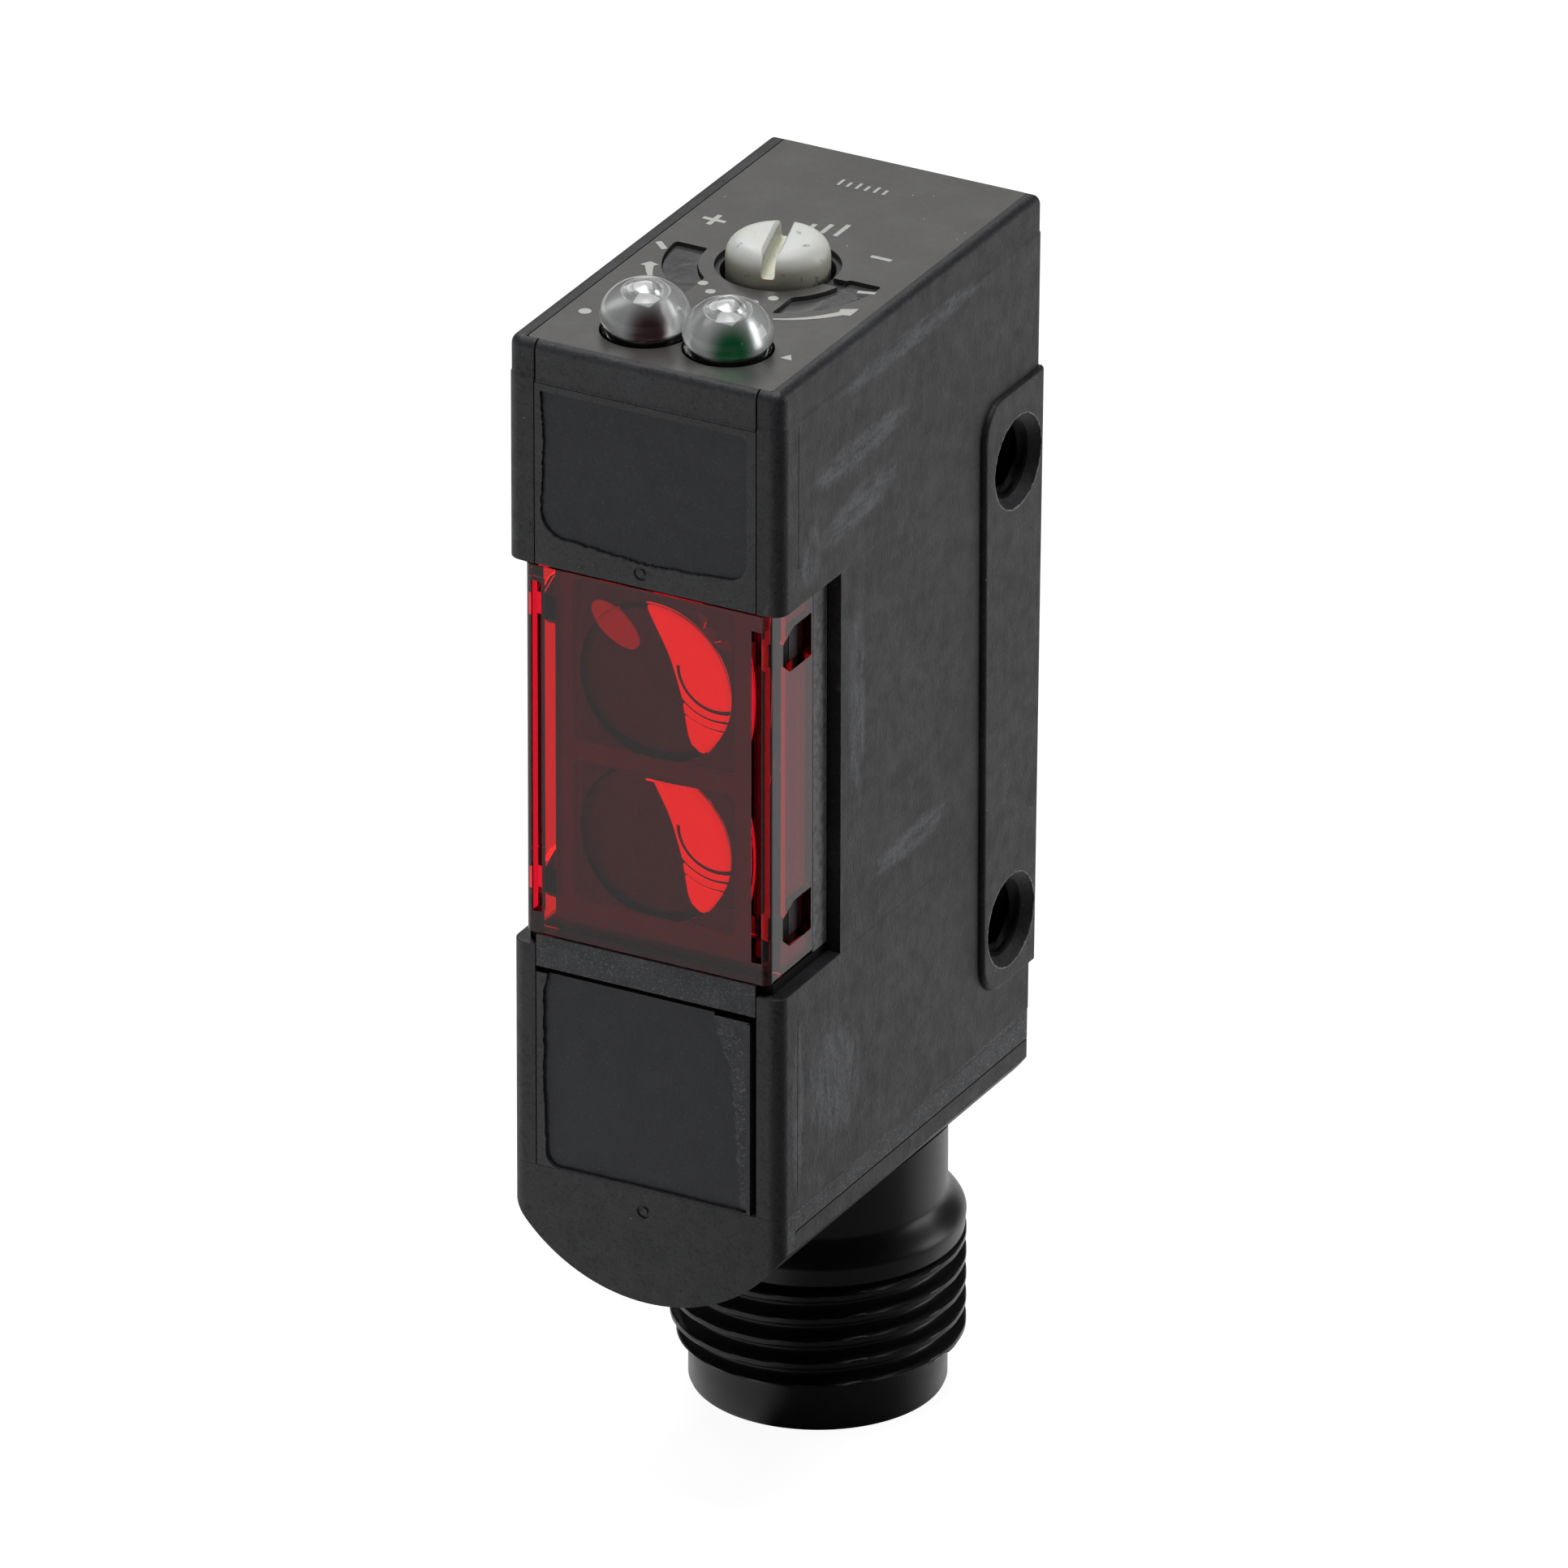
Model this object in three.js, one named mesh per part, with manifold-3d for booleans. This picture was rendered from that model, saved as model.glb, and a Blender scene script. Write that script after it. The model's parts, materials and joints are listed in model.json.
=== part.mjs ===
// A compact block-shaped photoelectric proximity sensor with an M12 plug connector.
// Units are millimetres and +Z is up. The sensing face looks along -Y, +X is the right-hand
// side seen from behind the sensor, and the origin is at the connector's mating end, under
// the middle of the body.

import * as THREE from "three";
import { mergeVertices } from "three/addons/utils/BufferGeometryUtils.js";
import Module from "manifold-3d";

// ---------------------------------------------------------------- driving dimensions

// Body
const BODY_WIDTH = 12.1;
const TOP_DEPTH = 21.85; // front to back at the top; the back leans forward below it
const TOP_Z = 50.4;
const SIDE_BOTTOM_Z = 12.9; // lower end of the straight sides
const BELLY_RADIUS = 7.2; // the underside is part of a cylinder along Y
const BACK_LEAN = THREE.MathUtils.degToRad(1.16);
const FRONT_CORNER = 0.6;
const BACK_CORNER = 0.35;
const TOP_EDGE = 0.4;
const INSERT_SEAM_Z = 48.7; // front seam between the top insert and the front frame
const BASE_SEAM_Z = 14.58; // between the housing and the base cap
const SEAM = 0.08; // gap between outer pieces that meet
const BASE_STEP = 0.12; // the base cap is narrower than the housing by this on each side
const CAVITY_HALF = 4.95; // inside half width
const CAVITY_BACK = 6.0; // how far back the cavity reaches, from the middle

// Window and the notch it sits in
const NOTCH_BOTTOM = 24.5;
const NOTCH_TOP = 40.85;
const NOTCH_DEPTH = 4.98; // from the front face to the notch's back wall
const WINDOW_HALF = 5.45;
const WINDOW_BOTTOM = 25.45;
const WINDOW_INSET = 0.08; // window face behind the front face
const WINDOW_PLATE = 1.3;
const WINDOW_LEG = 0.95;
const WINDOW_LEG_DEPTH = 3.7; // from the front face

// Optics
const UPPER_OPTIC_Z = 36.65;
const LOWER_OPTIC_Z = 29.35;
const LENS_RADIUS = 2.75;

// Mounting pads and their through holes
const PAD_HEIGHT = 0.23;
const PAD_TOP = 43.05;
const PAD_BOTTOM = 17.1;
const PAD_FRONT = 16.6; // from the front face
const PAD_CORNER = 1.5;
const HOLE_TOP_Z = 39.8;
const HOLE_PITCH = 20.0;
const HOLE_TO_BACK = 2.3;
const HOLE_RADIUS = 1.35;
const HOLE_CHAMFER = 1.9;

// Top: label, indicators, adjuster
const LABEL_THICKNESS = 0.2;
const LABEL_RECESS = 0.25;
const LABEL_HALF = 5.42;
const DOME_RADIUS = 1.8;
const DOME_SPACING = 3.66;
const DOME_MIDDLE_X = 0.15;
const DOME_FROM_FRONT = 3.15;
const DOME_CENTRE_Z = 50.67;
const ADJUSTER_RADIUS = 2.08;
const ADJUSTER_TOP = 51.62;
const ADJUSTER_HOLE = 2.3;
const ADJUSTER_SHAFT = 1.25;
const SLOT_WIDTH = 0.7;
const SLOT_DEPTH = 0.95;
const SLOT_ANGLE = THREE.MathUtils.degToRad(107); // where the slot points at rest

// Connector, M12 x 1
const CONNECTOR_FROM_FRONT = 14.41;
const NECK_RADIUS = 5.2;
const THREAD_RADIUS = 5.95;
const THREAD_ROOT = 5.4;
const THREAD_PITCH = 1.0;
const THREAD_TURNS = 5;
const THREAD_BOTTOM = 1.8;
const SLEEVE_RADIUS = 5.21;
const SOCKET_RADIUS = 4.2;
const SOCKET_DEPTH = 7.2;
const SPIGOT_RADIUS = 4.3;
const PIN_CIRCLE = 2.62;
const PIN_RADIUS = 0.5;

// Circuit boards
const BOARD_THICKNESS = 0.8;

// ---------------------------------------------------------------- derived places

const half = BODY_WIDTH / 2;
const front = -TOP_DEPTH / 2;
const bellyAxisZ = SIDE_BOTTOM_Z + Math.sqrt(BELLY_RADIUS ** 2 - half ** 2);
const connectorY = front + CONNECTOR_FROM_FRONT;
const backAt = (z) => TOP_DEPTH / 2 - (TOP_Z - z) * Math.tan(BACK_LEAN);
const fromFront = (distance) => front + distance;

// ---------------------------------------------------------------- solids from geometry

const wasm = await Module();
wasm.setup();

function solid(geometry) {
  const bare = geometry.clone();
  bare.deleteAttribute("normal");
  bare.deleteAttribute("uv");
  const merged = mergeVertices(bare, 1e-4);
  const made = new wasm.Manifold(
    new wasm.Mesh({
      numProp: 3,
      vertProperties: new Float32Array(merged.attributes.position.array),
      triVerts: new Uint32Array(merged.index.array),
    }),
  );
  if (made.volume() <= 0) throw new Error("a solid is inside out");
  return made;
}

function geometryOf(manifold) {
  const mesh = manifold.getMesh();
  const count = mesh.vertProperties.length / mesh.numProp;
  const position = new Float32Array(count * 3);
  for (let i = 0; i < count; i++) {
    position.set(mesh.vertProperties.subarray(i * mesh.numProp, i * mesh.numProp + 3), i * 3);
  }
  const geometry = new THREE.BufferGeometry();
  geometry.setAttribute("position", new THREE.BufferAttribute(position, 3));
  geometry.setIndex(new THREE.BufferAttribute(new Uint32Array(mesh.triVerts), 1));
  const faceted = geometry.toNonIndexed();
  faceted.computeVertexNormals();
  return faceted;
}

const union = (...solids) => solids.reduce((all, next) => all.add(next));
const cut = (body, ...tools) => tools.reduce((left, tool) => left.subtract(tool), body);

// A box between two limits on each axis.
function box([x0, x1], [y0, y1], [z0, z1]) {
  const geometry = new THREE.BoxGeometry(x1 - x0, y1 - y0, z1 - z0);
  geometry.translate((x0 + x1) / 2, (y0 + y1) / 2, (z0 + z1) / 2);
  return solid(geometry);
}

// A box that is centred on X = 0.
const slab = (halfWidth, y, z) => box([-halfWidth, halfWidth], y, z);

// An upright cylinder, or a cone when the two radii differ.
function post(x, y, z0, z1, radius, segments = 32, topRadius = radius) {
  const geometry = new THREE.CylinderGeometry(topRadius, radius, z1 - z0, segments);
  geometry.rotateX(Math.PI / 2);
  geometry.translate(x, y, (z0 + z1) / 2);
  return solid(geometry);
}

// A cylinder or cone along X.
function crossBar(x0, x1, y, z, radius, endRadius = radius, segments = 24) {
  const geometry = new THREE.CylinderGeometry(endRadius, radius, x1 - x0, segments);
  geometry.rotateZ(-Math.PI / 2);
  geometry.translate((x0 + x1) / 2, y, z);
  return solid(geometry);
}

// A turned shape about an upright axis. The profile lists [radius, z] round its right-hand
// side from the bottom up, and either ends on the axis or closes on itself.
function turned(x, y, profile, segments = 40) {
  const points = profile.map(([radius, z]) => new THREE.Vector2(radius, z));
  const geometry = new THREE.LatheGeometry(points, segments);
  geometry.rotateX(Math.PI / 2);
  geometry.translate(x, y, 0);
  return solid(geometry);
}

// An outline in X and Y, drawn out along Z.
function prism(shape, z0, z1, curveSegments = 12) {
  const geometry = new THREE.ExtrudeGeometry(shape, {
    depth: z1 - z0,
    bevelEnabled: false,
    curveSegments,
  });
  geometry.translate(0, 0, z0);
  return solid(geometry);
}

// An outline in Y and Z, drawn out along X.
function sidePrism(shape, x0, x1, curveSegments = 12) {
  const geometry = new THREE.ExtrudeGeometry(shape, {
    depth: x1 - x0,
    bevelEnabled: false,
    curveSegments,
  });
  geometry.applyMatrix4(
    new THREE.Matrix4().makeBasis(
      new THREE.Vector3(0, 1, 0),
      new THREE.Vector3(0, 0, 1),
      new THREE.Vector3(1, 0, 0),
    ),
  );
  geometry.translate(x0, 0, 0);
  return solid(geometry);
}

// A rounded rectangle as a shape; the four radii go anticlockwise from the low corner.
function roundedShape([x0, x1], [y0, y1], [a, b, c, d]) {
  const shape = new THREE.Shape();
  shape.moveTo(x0 + a, y0);
  shape.lineTo(x1 - b, y0);
  if (b) shape.absarc(x1 - b, y0 + b, b, -Math.PI / 2, 0);
  shape.lineTo(x1, y1 - c);
  if (c) shape.absarc(x1 - c, y1 - c, c, 0, Math.PI / 2);
  shape.lineTo(x0 + d, y1);
  if (d) shape.absarc(x0 + d, y1 - d, d, Math.PI / 2, Math.PI);
  shape.lineTo(x0, y0 + a);
  if (a) shape.absarc(x0 + a, y0 + a, a, Math.PI, 1.5 * Math.PI);
  return shape;
}

// A convex solid through level outlines of equal point count, listed from the bottom up.
function stacked(levels) {
  const count = levels[0].points.length;
  const position = levels.flatMap(({ z, points }) => points.flatMap((p) => [p.x, p.y, z]));
  const index = [];
  for (let i = 1; i + 1 < count; i++) index.push(0, i + 1, i);
  for (let level = 0; level + 1 < levels.length; level++) {
    for (let i = 0; i < count; i++) {
      const a = level * count + i;
      const b = level * count + ((i + 1) % count);
      index.push(a, b, b + count, a, b + count, a + count);
    }
  }
  const last = (levels.length - 1) * count;
  for (let i = 1; i + 1 < count; i++) index.push(last, last + i, last + i + 1);
  const geometry = new THREE.BufferGeometry();
  geometry.setAttribute("position", new THREE.Float32BufferAttribute(position, 3));
  geometry.setIndex(index);
  return solid(geometry);
}

// ---------------------------------------------------------------- the body's outer form

// The body's level outline at height z, pulled in by inset on every side.
function bodyOutline(z, inset, step) {
  const corner = (x, y, radius, start) => {
    const points = [];
    for (let i = 0; i <= 4; i++) {
      const angle = start + (i * Math.PI) / 8;
      points.push(new THREE.Vector2(x + radius * Math.cos(angle), y + radius * Math.sin(angle)));
    }
    return points;
  };
  const side = half - step - FRONT_CORNER;
  const rearSide = half - step - BACK_CORNER;
  const rear = backAt(z) - BACK_CORNER;
  const frontRadius = FRONT_CORNER - inset;
  const backRadius = Math.max(BACK_CORNER - inset, 0.02);
  const shrink = Math.max(inset - BACK_CORNER + 0.02, 0);
  return [
    ...corner(side, front + FRONT_CORNER, frontRadius, -Math.PI / 2),
    ...corner(rearSide - shrink, rear - shrink, backRadius, 0),
    ...corner(-rearSide + shrink, rear - shrink, backRadius, Math.PI / 2),
    ...corner(-side, front + FRONT_CORNER, frontRadius, Math.PI),
  ];
}

// The outer form between two heights, with the top edge rounded where it reaches the top.
function bodyBetween(z0, z1, step) {
  const levels = [{ z: z0, points: bodyOutline(z0, 0, step) }];
  if (z1 < TOP_Z) {
    levels.push({ z: z1, points: bodyOutline(z1, 0, step) });
  } else {
    for (let i = 0; i <= 4; i++) {
      const angle = (i * Math.PI) / 8;
      const z = TOP_Z - TOP_EDGE * (1 - Math.sin(angle));
      levels.push({ z, points: bodyOutline(z, TOP_EDGE * (1 - Math.cos(angle)), step) });
    }
  }
  return stacked(levels);
}

// The cylinder along Y whose lower half is the underside, grown by extra.
function belly(extra) {
  const geometry = new THREE.CylinderGeometry(
    BELLY_RADIUS + extra,
    BELLY_RADIUS + extra,
    2 * TOP_DEPTH,
    96,
  );
  geometry.translate(0, 0, bellyAxisZ);
  return solid(geometry);
}

// ---------------------------------------------------------------- materials

const plastic = (color, roughness) =>
  new THREE.MeshStandardMaterial({ color, roughness, metalness: 0 });
const metal = (color, roughness) =>
  new THREE.MeshStandardMaterial({ color, roughness, metalness: 1 });
const clear = (color, opacity) =>
  new THREE.MeshStandardMaterial({ color, roughness: 0.12, transparent: true, opacity });

const material = {
  housing: plastic(0x3b3c3f, 0.62),
  frame: plastic(0x303236, 0.5),
  window: clear(0xc30d1d, 0.75),
  optics: plastic(0x101113, 0.45),
  lens: clear(0xe8e8ee, 0.5),
  label: plastic(0x55544f, 0.4),
  lightGuide: clear(0xdde0e2, 0.55),
  adjuster: plastic(0xd9d9d2, 0.45),
  rubber: plastic(0x161616, 0.85),
  connector: plastic(0x15161a, 0.5),
  contact: metal(0xd6a94a, 0.3),
  board: plastic(0x1f5a37, 0.5),
  chip: plastic(0x1b1b1d, 0.55),
  ceramic: plastic(0xb79b78, 0.6),
  flex: plastic(0xb0702a, 0.45),
  wire: plastic(0x7a3a2a, 0.6),
  ledGreen: plastic(0x2c9a4a, 0.35),
  ledOrange: plastic(0xa8562a, 0.35),
};

const sensor = new THREE.Group();

function piece(name, manifold, surface) {
  const mesh = new THREE.Mesh(geometryOf(manifold), surface);
  mesh.name = name;
  sensor.add(mesh);
}

// ---------------------------------------------------------------- outer shells

const cavity = (z0, z1) => slab(CAVITY_HALF, [front - 1, CAVITY_BACK], [z0, z1]);

function mountingPad(side) {
  const rim = 0.12;
  const shape = new THREE.Shape();
  const y0 = fromFront(PAD_FRONT);
  shape.moveTo(y0 + PAD_CORNER, PAD_BOTTOM);
  shape.lineTo(backAt(PAD_BOTTOM) - rim, PAD_BOTTOM);
  shape.lineTo(backAt(PAD_TOP) - rim, PAD_TOP);
  shape.lineTo(y0 + PAD_CORNER, PAD_TOP);
  shape.absarc(y0 + PAD_CORNER, PAD_TOP - PAD_CORNER, PAD_CORNER, Math.PI / 2, Math.PI);
  shape.lineTo(y0, PAD_BOTTOM + PAD_CORNER);
  shape.absarc(y0 + PAD_CORNER, PAD_BOTTOM + PAD_CORNER, PAD_CORNER, Math.PI, 1.5 * Math.PI);
  const outer = half + PAD_HEIGHT;
  const inner = half - 0.5;
  return side > 0 ? sidePrism(shape, inner, outer) : sidePrism(shape, -outer, -inner);
}

function mountingHole(z) {
  const y = backAt(z) - HOLE_TO_BACK;
  const face = half + PAD_HEIGHT;
  const deep = HOLE_CHAMFER - HOLE_RADIUS;
  return union(
    crossBar(-face - 1, face + 1, y, z, HOLE_RADIUS),
    crossBar(face - deep, face + 0.01, y, z, HOLE_RADIUS, HOLE_CHAMFER + 0.01),
    crossBar(-face - 0.01, -face + deep, y, z, HOLE_CHAMFER + 0.01, HOLE_RADIUS),
  );
}

const notch = box(
  [-half - 1, half + 1],
  [front - 1, fromFront(NOTCH_DEPTH)],
  [NOTCH_BOTTOM, NOTCH_TOP],
);

const recessFloor = TOP_Z - LABEL_RECESS;
const labelRecess = slab(LABEL_HALF + 0.08, [front + 0.32, TOP_DEPTH / 2 - 0.22], [recessFloor, TOP_Z + 1]);

piece(
  "main_housing",
  cut(
    union(
      bodyBetween(BASE_SEAM_Z, TOP_Z, 0),
      mountingPad(1),
      mountingPad(-1),
    ),
    cavity(0, 60),
    labelRecess,
    notch,
    mountingHole(HOLE_TOP_Z),
    mountingHole(HOLE_TOP_Z - HOLE_PITCH),
  ),
  material.housing,
);

// The openings in the top insert and the label.
const domeY = fromFront(DOME_FROM_FRONT);
const domeX = [-1, 1].map((side) => DOME_MIDDLE_X + (side * DOME_SPACING) / 2);
const GUIDE_INNER = 3.15;
const GUIDE_OUTER = 4.55;
const TONGUE_HALF = 1.95; // the label's tongue between the two arms

// One arm of the light guide's fork: a band round the adjuster that runs forward to a dome.
function guideArm(side, clearance, z0, z1) {
  const ring = cut(
    post(0, 0, z0, z1, GUIDE_OUTER + clearance, 48),
    post(0, 0, z0 - 1, z1 + 1, GUIDE_INNER - clearance, 48),
  );
  const reach = GUIDE_OUTER + 1;
  const between = (near, far) => [near * side, far * side].sort((a, b) => a - b);
  const inner = TONGUE_HALF - clearance;
  const arc = ring.intersect(box(between(inner, reach), [-reach, 0.05 + clearance], [z0, z1]));
  const bridge = box(between(inner, inner + 1.5 + 2 * clearance), [domeY, -2.6], [z0, z1]);
  return union(arc, bridge);
}

const insertHalf = CAVITY_HALF - SEAM;
const plateBottom = INSERT_SEAM_Z + 0.1;
const skirtBottom = plateBottom - 1.3;
const sealFloor = skirtBottom + 0.55;

const cavityPlug = (z0, z1) => slab(insertHalf, [front - 1, CAVITY_BACK - SEAM], [z0, z1]);

function guideOpening(clearance, z0, z1) {
  return union(
    guideArm(-1, clearance, z0, z1),
    guideArm(1, clearance, z0, z1),
    ...domeX.map((x) => post(x, domeY, z0, z1, DOME_RADIUS + clearance, 28)),
  );
}

// The insert closes the housing's top; its front edge shows between the side walls.
piece(
  "top_insert",
  cut(
    union(
      bodyBetween(plateBottom, TOP_Z, 0).intersect(cavityPlug(plateBottom, TOP_Z)),
      slab(insertHalf, [fromFront(1.9), CAVITY_BACK - SEAM], [skirtBottom, plateBottom + 0.1]),
    ),
    labelRecess,
    guideOpening(0.12, skirtBottom - 1, TOP_Z + 1),
    post(0, 0, sealFloor, TOP_Z + 1, ADJUSTER_HOLE, 40),
    post(0, 0, skirtBottom - 1, TOP_Z + 1, ADJUSTER_SHAFT + 0.2, 32),
  ),
  material.housing,
);

const labelFloor = recessFloor + 0.03;

piece(
  "top_label",
  cut(
    slab(LABEL_HALF, [front + 0.4, TOP_DEPTH / 2 - 0.3], [labelFloor, labelFloor + LABEL_THICKNESS]),
    guideOpening(0.16, TOP_Z - 1, TOP_Z + 1),
    post(0, 0, TOP_Z - 1, TOP_Z + 1, ADJUSTER_HOLE + 0.25, 40),
    box([2, 3.1], [-0.25, 0.45], [TOP_Z - 1, TOP_Z + 1]),
  ),
  material.label,
);

const floorTop = 13.6;
const boreRadius = SPIGOT_RADIUS + 0.12;

piece(
  "base_cap",
  cut(
    bodyBetween(8, BASE_SEAM_Z - SEAM, BASE_STEP).intersect(belly(0)),
    slab(CAVITY_HALF - 0.3, [fromFront(1.1), CAVITY_BACK], [floorTop, BASE_SEAM_Z + 1]),
    post(0, connectorY, 8, 16, boreRadius, 48),
  ),
  material.housing,
);

// ---------------------------------------------------------------- front frame and window

const tubeHalf = WINDOW_HALF - WINDOW_LEG - 0.15;
const panelBack = 1.5;
const upperPanelBottom = NOTCH_TOP + 0.05;
const pocketDepth = 0.2;
const lowerPocketDepth = 0.3;
const barBottom = 23.35;
const panelHalf = CAVITY_HALF - 0.06;

function panelPocket(depth, x, z, radii) {
  const outline = roundedShape(x, z, radii);
  const geometry = new THREE.ExtrudeGeometry(outline, {
    depth: depth + 1,
    bevelEnabled: false,
    curveSegments: 6,
  });
  geometry.rotateX(Math.PI / 2);
  geometry.translate(0, front + depth, 0);
  return solid(geometry);
}

const frameBack = 4.9;
const frameHalf = WINDOW_HALF - 0.02;
const frameTop = NOTCH_TOP - 0.05;
const frameBottom = NOTCH_BOTTOM + 0.05;

// A block of the front frame: its half width, and its reach back from the front face.
const frameBlock = (halfWidth, near, far, z0, z1) =>
  slab(halfWidth, [fromFront(near), fromFront(far)], [z0, z1]);

piece(
  "front_frame",
  cut(
    union(
      frameBlock(panelHalf, 0, panelBack, upperPanelBottom, INSERT_SEAM_Z),
      frameBlock(panelHalf, 0, panelBack, BASE_SEAM_Z + 0.05, frameBottom),
      frameBlock(frameHalf, 0.06, frameBack, frameBottom, WINDOW_BOTTOM - 0.05),
      frameBlock(frameHalf, WINDOW_LEG_DEPTH + 0.08, frameBack, frameBottom, frameTop),
      frameBlock(tubeHalf, 1.75, frameBack, frameBottom, NOTCH_TOP + 0.2),
      frameBlock(tubeHalf, panelBack - 0.1, 2.6, NOTCH_TOP, NOTCH_TOP + 1.5),
    ),
    frameBlock(tubeHalf - 0.35, 1, frameBack + 1, WINDOW_BOTTOM + 0.35, NOTCH_TOP - 0.6),
    panelPocket(pocketDepth, [-4.6, 4.6], [42.3, 48.35], [1.1, 0.9, 0.2, 0.2]),
    panelPocket(lowerPocketDepth, [-4.45, 4.75], [BASE_SEAM_Z - 1, barBottom], [0, 0, 0, 0]),
  ),
  material.frame,
);

// The window is a U in plan: a front plate with two legs that run back along the sides.
function windowOutline() {
  const y0 = fromFront(WINDOW_INSET);
  const y1 = fromFront(WINDOW_LEG_DEPTH);
  const inside = WINDOW_HALF - WINDOW_LEG;
  const innerY = y0 + WINDOW_PLATE;
  const radius = 0.35;
  const shape = new THREE.Shape();
  shape.moveTo(-WINDOW_HALF + radius, y0);
  shape.lineTo(WINDOW_HALF - radius, y0);
  shape.absarc(WINDOW_HALF - radius, y0 + radius, radius, -Math.PI / 2, 0);
  shape.lineTo(WINDOW_HALF, y1);
  shape.lineTo(inside, y1);
  shape.lineTo(inside, innerY);
  shape.lineTo(-inside, innerY);
  shape.lineTo(-inside, y1);
  shape.lineTo(-WINDOW_HALF, y1);
  shape.lineTo(-WINDOW_HALF, y0 + radius);
  shape.absarc(-WINDOW_HALF + radius, y0 + radius, radius, Math.PI, 1.5 * Math.PI);
  return shape;
}

const windowTop = NOTCH_TOP - 0.08;
const snapHeight = 2.1;
const snapMiddles = [WINDOW_BOTTOM + 1.75, windowTop - 1.65];

// A groove down each edge of the front plate, and two snap pockets in each leg.
function windowCuts(side) {
  const between = (near, far) => [near * side, far * side].sort((a, b) => a - b);
  const groove = box(
    between(4.65, 5.15),
    [front - 1, fromFront(WINDOW_INSET + 0.5)],
    [WINDOW_BOTTOM + 0.35, windowTop - 0.75],
  );
  const pockets = snapMiddles.map((z) =>
    box(
      between(WINDOW_HALF - 0.45, WINDOW_HALF + 1),
      [fromFront(1.25), fromFront(WINDOW_LEG_DEPTH - 0.3)],
      [z - snapHeight / 2, z + snapHeight / 2],
    ),
  );
  return [groove, ...pockets];
}

piece(
  "red_window",
  cut(prism(windowOutline(), WINDOW_BOTTOM, windowTop, 6), ...windowCuts(-1), ...windowCuts(1)),
  material.window,
);

const gasketY = [fromFront(WINDOW_INSET + WINDOW_PLATE + 0.05), fromFront(1.7)];

piece(
  "window_gasket",
  cut(
    slab(tubeHalf, gasketY, [WINDOW_BOTTOM + 0.05, windowTop - 0.05]),
    slab(tubeHalf - 0.5, [front, fromFront(3)], [WINDOW_BOTTOM + 0.6, windowTop - 0.6]),
  ),
  material.rubber,
);

// ---------------------------------------------------------------- optics

const holderHalf = tubeHalf - 0.45;
const holderZ = [WINDOW_BOTTOM + 0.45, NOTCH_TOP - 0.7];
const holderFront = 1.9;
const holderBack = 7.0;
const cellHalf = holderHalf - 0.3;
const partition = (UPPER_OPTIC_Z + LOWER_OPTIC_Z) / 2;
const lensSeat = 4.6;
const opticHeights = [UPPER_OPTIC_Z, LOWER_OPTIC_Z];

// A cylinder along Y.
function bore(x, z, distance0, distance1, radius, endRadius = radius, segments = 40) {
  const geometry = new THREE.CylinderGeometry(endRadius, radius, distance1 - distance0, segments);
  geometry.translate(x, fromFront((distance0 + distance1) / 2), z);
  return solid(geometry);
}

piece(
  "lens_holder",
  cut(
    slab(holderHalf, [fromFront(holderFront), fromFront(holderBack)], holderZ),
    slab(cellHalf, [fromFront(holderFront - 1), fromFront(2.7)], [partition + 0.3, holderZ[1] - 0.3]),
    slab(cellHalf, [fromFront(holderFront - 1), fromFront(2.7)], [holderZ[0] + 0.3, partition - 0.3]),
    ...opticHeights.map((z) => bore(0, z, holderFront, lensSeat, LENS_RADIUS + 0.08)),
    ...opticHeights.map((z) => bore(0, z, holderFront, holderBack + 1, 2.1)),
  ),
  material.optics,
);

// A lens with a domed front and a flat back, its axis along Y.
function lens(z) {
  const back = fromFront(lensSeat - 0.1);
  const rim = 0.7;
  const rise = 1.0;
  const profile = [[0, 0], [LENS_RADIUS, 0], [LENS_RADIUS, rim]];
  const steps = 5;
  for (let i = 1; i < steps; i++) {
    const radius = LENS_RADIUS * (1 - i / steps);
    profile.push([radius, rim + rise * (1 - (radius / LENS_RADIUS) ** 2)]);
  }
  profile.push([0, rim + rise]);
  const geometry = new THREE.LatheGeometry(
    profile.map(([radius, height]) => new THREE.Vector2(radius, height)),
    28,
  );
  geometry.rotateX(Math.PI);
  geometry.translate(0, back, z);
  return solid(geometry);
}

piece("emitter_lens", lens(UPPER_OPTIC_Z), material.lens);
piece("receiver_lens", lens(LOWER_OPTIC_Z), material.lens);

const opticsBoardDistance = 7.25;
const deep = (near, far) => [
  fromFront(opticsBoardDistance - near),
  fromFront(opticsBoardDistance - far),
];

piece("optics_board", slab(holderHalf, deep(0, -BOARD_THICKNESS), holderZ), material.board);
piece(
  "emitter_led",
  union(
    slab(0.8, deep(0.95, 0.08), [UPPER_OPTIC_Z - 0.8, UPPER_OPTIC_Z + 0.8]),
    bore(0, UPPER_OPTIC_Z, opticsBoardDistance - 1.5, opticsBoardDistance - 0.8, 0.35, 0.6, 20),
  ),
  material.lens,
);
piece(
  "receiver_chip",
  slab(1.25, deep(1, 0.08), [LOWER_OPTIC_Z - 1.1, LOWER_OPTIC_Z + 1.1]),
  material.chip,
);

// ---------------------------------------------------------------- boards and components

const mainBoardX = -3.6;
const mainBoardFace = mainBoardX + BOARD_THICKNESS;
const mainBoardY = [-1.6, 5.3];
const mainBoardZ = [17.2, 43.4];

piece("main_board", box([mainBoardX, mainBoardFace], mainBoardY, mainBoardZ), material.board);

// A component on the main board: its middle, its size along Y and Z, and its height.
function component(name, y, z, sizeY, sizeZ, height, surface) {
  const x = mainBoardFace + 0.06;
  piece(
    name,
    box([x, x + height], [y - sizeY / 2, y + sizeY / 2], [z - sizeZ / 2, z + sizeZ / 2]),
    surface,
  );
}

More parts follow.
